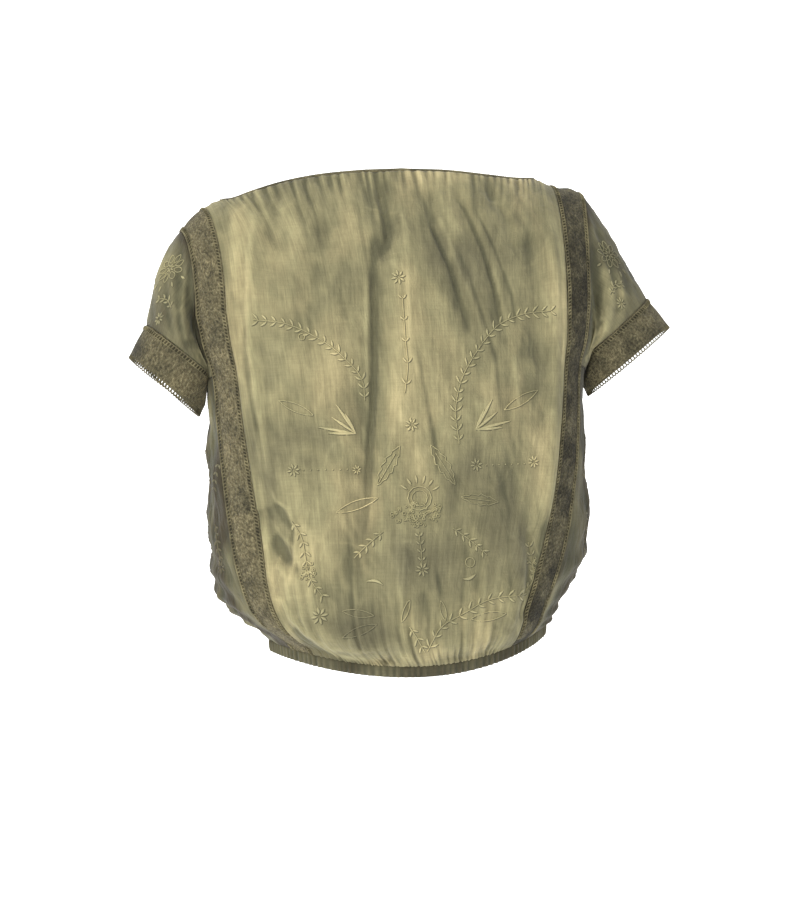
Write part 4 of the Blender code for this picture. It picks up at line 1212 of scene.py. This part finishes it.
def stitchPanel(work):
    # one garden of sprays about the middle of a panel, seen from outside
    work.star((-18, -126), 9)
    work.spray([(-17, -272), (-12, -240), (-13, -200), (-14, -150)], 8, 27, 0.7, 2.2)
    work.star((-10, -312), 9)
    work.spray([(-66, -280), (-68, -256), (-92, -224), (-122, -199), (-160, -180), (-200, -173)],
               10, 11)
    work.spray([(50, -338), (47, -300), (55, -262), (82, -218), (108, -190), (148, -174),
                (182, -171)], 11, 12)
    work.ring((-141, -197), 4)
    work.outlined((-131, -296), (-172, -276), 10)
    work.outlined((112, -297), (160, -273), 11)
    for side, base in ((-1, (-79, -321)), (1, (72, -321))):
        for tip in ((24, 38), (48, 10), (13, 26), (30, 22), (36, 2)):
            work.leaf(base, (base[0] + side * tip[0], base[1] + tip[1]), 3.4)
    work.outlined((-56, -386), (-26, -338), 15, 5)
    work.outlined((43, -389), (13, -338), 15, 5)
    work.star((-158, -364), 8)
    work.dots((-146, -364), (-92, -365), 7)
    work.star((-80, -366), 6)
    work.star((71, -365), 8)
    work.dots((84, -366), (136, -366), 7)
    work.star((149, -364), 8)
    work.ring((-4, -404), 15, 1.2)
    work.ring((-4, -404), 10, 0.9)
    work.rays((-4, -404), (0.5, 0.9, 1.3, 1.7, 2.1, 2.5), 19, 29, 2.4)
    work.knots((-6, -424), 34, 15, 84, 91)
    work.outlined((-56, -402), (-108, -418), 11)
    work.outlined((50, -405), (98, -413), 13, 4)
    work.spray([(-4, -486), (-5, -466), (-7, -446)], 8, 10)
    work.star((-4, -493), 9)
    work.spray([(-52, -444), (-70, -459), (-88, -476)], 9, 11)
    work.spray([(37, -443), (60, -460), (80, -479)], 9, 11)
    work.ring((58, -487), 6)
    work.leaf((-74, -505), (-54, -510), 3.4, 0.15)
    work.leaf((47, -507), (65, -502), 3.4, -0.15)
    work.spray([(-163, -427), (-152, -448), (-148, -473), (-144, -498), (-128, -522)], 9, 12)
    work.knots((-146, -492), 9, 14, 22, 92)
    work.star((-133, -546), 11)
    work.outlined((-105, -541), (-66, -548), 9)
    work.outlined((-63, -559), (-106, -574), 10)
    work.outlined((-32, -557), (-21, -530), 7)
    work.outlined((23, -558), (18, -533), 7)
    work.spray([(-22, -564), (-3, -597)], 10, 12)
    work.spray([(0, -596), (18, -566), (46, -551), (78, -536), (130, -532)], 11, 14)
    work.outlined((56, -558), (104, -554), 11)
    work.spray([(124, -534), (143, -515), (142, -490), (138, -466)], 8, 11)
    work.knots((142, -497), 8, 15, 22, 93)


def stitchSleeve(work, lean):
    # a daisy with a sprig under it
    work.daisy((0, 14), 19)
    work.star((2 * lean, -52), 8)
    work.spray([(-16 * lean, -44), (-6 * lean, -30), (10 * lean, -24)], 7, 9)
    work.rays((0, 14), (-2.4, -1.9, -1.2, -0.7), 23, 31, 2.4)


backWork = whitework(backPoints, False, (0, -0.2, 0), (1, 0, 0), (0, 0, 1))
stitchPanel(backWork)
backStitches = settle(backWork.piece("whitework_back", thread, -1), "voile")
frontWork = whitework(frontPoints, False, (0, 0.2, 0), (-1, 0, 0), (0, 0, 1))
stitchPanel(frontWork)
frontStitches = settle(frontWork.piece("whitework_front", thread, 1), "voile")
print("panel whitework made:", len(backWork.faces), "and", len(frontWork.faces), "faces")

# places on the sleeves: origin, right and up of the sprig behind and the sprig in front
sleeveSprays = {
    -1: [((-0.306, -0.05, -0.112), (0.90, -0.38, 0.20), (0.22, 0.05, 0.97)),
         ((-0.306, 0.05, -0.112), (-0.90, -0.38, -0.20), (0.22, -0.05, 0.97))],
    1: [((0.278, -0.05, -0.108), (0.90, 0.38, -0.22), (-0.10, 0.05, 0.97)),
        ((0.278, 0.05, -0.108), (-0.90, 0.38, 0.22), (-0.10, -0.05, 0.97))],
}
sleeveStitches, sideStitches = {}, {}
for side, word in bothSides:
    pieces = []
    for number, (origin, right, up) in enumerate(sleeveSprays[side]):
        work = whitework(sleevePoints[side], True, origin, right, up)
        stitchSleeve(work, side * (1 if number == 0 else -1))
        name = "whitework_sleeve_" + word + ("_back" if number == 0 else "_front")
        pieces.append(settle(work.piece(name, thread, shade=-0.9), "voile"))
    sleeveStitches[side] = pieces
    work = whitework(sidePoints[side], False, (side * 0.25, 0, 0), (0, side, 0), (0, 0, 1))
    for place in (-50, 0, 50):
        work.star((place, -500 + 0.3 * abs(place)), 9)
        work.spray([(place - 12, -430), (place, -450), (place + 6, -478)], 8, 10)
        work.spray([(place + 8, -330), (place, -355), (place - 8, -385)], 8, 10)
    # the side stitches get the painted shade of the side panels
    sideStitches[side] = settle(work.piece("whitework_side_" + word, thread, shade=-2.6), "voile")
print("sleeve and side whitework made")


bindingShape = {"thickness": 0.0022, "columns": 620, "stitch": 0.0030, "inset": 0.0006,
                "overhang": 0.0009, "swell": 0.0002, "clear": 0.0003, "lean": 0.0009,
                "threadWide": 0.00045, "threadHigh": 0.00032}


def neckRing(count, inset):
    # points round the neck edge moved into the opening along the cloth, and the way in and up
    half = count // 4
    shares = np.linspace(0, 1, half + 1)
    backX, backY = neckPlan(-1, shares)
    frontX, frontY = neckPlan(1, shares)
    shift = neckShape["shift"]
    x = np.concatenate([shift - backX[::-1], shift + backX[1:], shift + frontX[-2::-1],
                        shift - frontX[1:-1]])
    y = np.concatenate([backY[::-1], backY[1:], frontY[-2::-1], frontY[1:-1]])
    facing = np.concatenate([np.full(2 * half + 1, -1), np.full(2 * half - 1, 1)])
    tangent = np.stack([np.roll(x, -1) - np.roll(x, 1), np.roll(y, -1) - np.roll(y, 1)], -1)
    inward = unit(np.stack([-tangent[:, 1], tangent[:, 0]], -1))

    def height(distance):
        px, py = x + inward[:, 0] * distance, y + inward[:, 1] * distance
        return yokePoint(px, yokeTurn(px, py, facing), facing)[:, 2]

    level = height(0.0)
    slope = (height(0.002) - level) / 0.002
    step = inset / np.sqrt(1 + slope ** 2)
    points = np.stack([x + inward[:, 0] * step, y + inward[:, 1] * step, level + slope * step], -1)
    way = unit(np.stack([inward[:, 0], inward[:, 1], slope], -1))
    ahead = unit(np.roll(points, -1, 0) - np.roll(points, 1, 0))
    return points, way, unit(np.cross(ahead, way))


def makeBinding():
    count = bindingShape["columns"]
    middle = (neckShape["bindingWidth"] + gaps["neck"]) / 2
    points, way, up = neckRing(count, middle)
    up = up * np.sign(up[:, 2:3] + 1e-9)
    down = up * (-bindingShape["thickness"] / 2)
    half = (neckShape["bindingWidth"] - gaps["neck"]) / 2
    work = threadWork()
    high = bindingShape["thickness"] / 2
    work.tube(points + down - way * bindingShape["inset"], up, half + bindingShape["overhang"],
              high + bindingShape["swell"], sides=10, closed=True)
    settle(work.piece("neck_tape", trim), "trim", "neck_binding")
    # whipped stitches over the edge
    stitches = threadWork()
    ring = np.concatenate([points, points[:1]])
    along = runLength(ring)
    number = int(along[-1] / bindingShape["stitch"])
    for index in range(number):
        place = int(np.searchsorted(along, along[-1] * index / number)) % len(points)
        centre, inward, rise = points[place] + down[place], way[place], up[place]
        ahead = points[(place + 1) % len(points)] - points[place - 1]
        lean = unit(ahead) * bindingShape["lean"]
        arc = [centre + inward * (math.cos(a) * (half + bindingShape["clear"]))
               + rise * (math.sin(a) * (high + bindingShape["clear"]))
               + lean * (a / math.pi - 0.5) for a in np.linspace(-0.4, math.pi + 0.4, 7)]
        normals = unit(np.array(arc) - centre)
        stitches.tube(arc, normals, bindingShape["threadWide"], bindingShape["threadHigh"], sides=4)
    settle(stitches.piece("neck_whipping", ladderThread), "trim")


makeBinding()
print("neck binding made")


ladderShape = {"halfWidth": 0.0021, "pitch": 0.0044, "cord": 0.00050, "bar": 0.00085,
               "rolled": 0.0011, "lift": 0.0006, "inset": 0.0012, "bandWidth": 0.040,
               "sunk": 0.55, "arch": 0.0003, "cuffEdges": (0.035, 0.155), "cuffLift": 0.0004}


def layLadder(work, ground, inner, outer, normals, rolled=False):
    # two cords and the slanted bars between them, over a dark strip that paints the shade seen through the
    # holes
    lift = normals * ladderShape["lift"]
    inner, outer = inner + lift, outer + lift
    ground.strip([inner - lift * ladderShape["sunk"], outer - lift * ladderShape["sunk"]])
    for line in (inner, outer):
        along = runLength(line)
        beads = 1 + 0.25 * np.cos(along / ladderShape["pitch"] * 2 * math.pi)
        thick = ladderShape["rolled" if rolled and line is inner else "cord"]
        work.tube(line, normals * beads[:, None], thick, thick * 0.9)
    middle = (inner + outer) / 2
    along = runLength(middle)
    number = int(along[-1] / ladderShape["pitch"])
    wanted = (np.arange(number) + 0.5) * along[-1] / number
    starts = lineAt(inner, along, wanted)
    ends = lineAt(outer, along, wanted + ladderShape["pitch"] * 0.45)
    rise = unit(lineAt(normals, along, wanted))
    for start, end, up in zip(starts, ends, rise):
        line = [start, (start + end) / 2 + up * ladderShape["arch"], end]
        work.tube(line, [up] * 3, ladderShape["bar"], ladderShape["bar"], sides=4)


def gridNormals(points):
    down, across = np.gradient(points, axis=0), np.gradient(points, axis=1)
    return unit(np.cross(down, across))


ladders, ladderGround = threadWork(), threadWork()
for side in (-1, 1):
    for edge in (0.0, 1.0):
        inside = (1 if edge == 0 else -1) / ladderShape["bandWidth"]
        first = edge + inside * ladderShape["inset"]
        shares = np.array([first, first + inside * 2 * ladderShape["halfWidth"]])
        line = bandPoints(side, shares, 560)
        normals = gridNormals(line)[:, 0]
        middle = line.mean(1)
        outwardSign = np.sign((normals * middle)[:, :2].sum(1) + 1e-9)
        topRows = np.abs(normals[:, 2]) > 0.75
        outwardSign = np.where(topRows, np.sign(normals[:, 2]), outwardSign)
        layLadder(ladders, ladderGround, line[:, 0], line[:, 1], normals * outwardSign[:, None],
                  rolled=edge == 1.0)
    share = np.linspace(0, 1, 300)
    normals = cuffOutward(side, share, 0.1)
    inner, outer = (cuffPoint(side, share, along) + normals * ladderShape["cuffLift"]
                    for along in ladderShape["cuffEdges"])
    layLadder(ladders, ladderGround, inner, outer, normals)
settle(ladders.piece("openwork_threads", ladderThread), "trim")
# the dark strip paints the shade seen through the openwork holes
settle(ladderGround.piece("openwork_hole_shade", openwork), "trim")
print("openwork made")


picotShape = {"pitch": 0.0046, "depth": 0.0052, "cord": 0.00095, "header": 0.0011,
              "headerHigh": 0.0007, "inset": 0.0008}


def makePicots(side, word):
    work = threadWork()
    share = np.linspace(0, 1, 700)[:-1]
    edge = cuffPoint(side, share, 1 + gaps["edging"] / cuffSizes["length"])
    normals = cuffOutward(side, share, 1.0)
    ring = np.concatenate([edge, edge[:1]])
    along = runLength(ring)
    number = int(along[-1] / picotShape["pitch"])
    work.tube(edge - normals * picotShape["inset"], normals, picotShape["header"],
              picotShape["headerHigh"], closed=True)
    reach = picotShape["depth"] / cuffSizes["length"]
    for index in range(number):
        begin = np.interp(along[-1] * index / number, along, np.linspace(0, 1, len(along)))
        width = 1.0 / number
        turns = np.linspace(0, math.pi, 9)
        shares = begin + width * (0.5 - 0.52 * np.cos(turns))
        alongs = 1.02 + reach * np.sin(turns) ** 0.8
        loop = cuffPoint(side, shares, alongs)
        up = cuffOutward(side, shares, np.full(shares.shape, 1.0))
        work.tube(loop - up * picotShape["inset"], up, picotShape["cord"], picotShape["cord"], sides=4)
    return settle(work.piece("picots_" + word, trim), "trim", "cuff_edging_" + word)


picots = {side: makePicots(side, word) for side, word in bothSides}
print("picot edging made")


cameraShape = {"target": (-0.003, 0.0, -0.352), "distance": 2.4, "azimuth": -9.0, "roll": -2.0,
               "lens": 71.1}
lightShape = {
    "key": {"place": (-1.9, -2.0, 1.1), "size": 1.5, "power": 62.0, "colour": (1.0, 0.985, 0.95)},
    "fill": {"place": (1.8, -1.9, 0.2), "size": 1.8, "power": 12.0, "colour": (0.95, 0.97, 1.0)},
    "top": {"place": (0.1, 0.3, 1.6), "size": 1.6, "power": 12.0, "colour": (1.0, 1.0, 1.0)},
}


def setStage():
    target = Vector(cameraShape["target"])
    turn = math.radians(cameraShape["azimuth"])
    camera = inScene("camera", bpy.data.cameras.new("camera"))
    back = Vector((math.sin(turn), -math.cos(turn), 0))
    camera.location = target + back * cameraShape["distance"]
    camera.rotation_mode = "QUATERNION"
    roll = Quaternion((0, 0, 1), math.radians(cameraShape["roll"]))
    camera.rotation_quaternion = (-back).to_track_quat("-Z", "Y") @ roll
    camera.data.sensor_width = 36.0
    camera.data.lens = cameraShape["lens"]
    camera.data.clip_end = 30.0
    bpy.context.scene.camera = camera
    for name, row in lightShape.items():
        lamp = bpy.data.lights.new(name, "AREA")
        lamp.energy, lamp.size, lamp.color = row["power"], row["size"], row["colour"]
        light = inScene(name, lamp)
        light.location = row["place"]
        light.rotation_mode = "QUATERNION"
        light.rotation_quaternion = (target - light.location).to_track_quat("-Z", "Y")
    world = bpy.data.worlds.new("softRoom")
    world.use_nodes = True
    background = world.node_tree.nodes["Background"].inputs
    background[0].default_value = (1.0, 1.0, 1.0, 1.0)
    background[1].default_value = 0.42
    bpy.context.scene.world = world
    bpy.context.scene.view_settings.view_transform = "Standard"
    planes = (("pale_floor", 7.0, (0, 0, -1.42), (0, 0, 0), 0.55),
              ("pale_wall", 9.0, (0, 3.6, 0.5), (math.pi / 2, 0, 0), 1.1))
    for name, size, place, turn, glow in planes:
        half = size / 2
        mesh = bpy.data.meshes.new(name)
        mesh.from_pydata([(-half, -half, 0), (half, -half, 0), (half, half, 0), (-half, half, 0)],
                         [], [(0, 1, 2, 3)])
        plane = inScene(name, mesh)
        plane.location, plane.rotation_euler = place, turn
        desk = nodeDesk(name)
        values = {"Base Color": (0.9, 0.9, 0.89, 1), "Roughness": 0.9,
                  "Emission Color": (1, 1, 1, 1), "Emission Strength": glow}
        for key, value in values.items():
            desk.shader.inputs[key].default_value = value
        mesh.materials.append(desk.material)


setStage()
print("stage set")
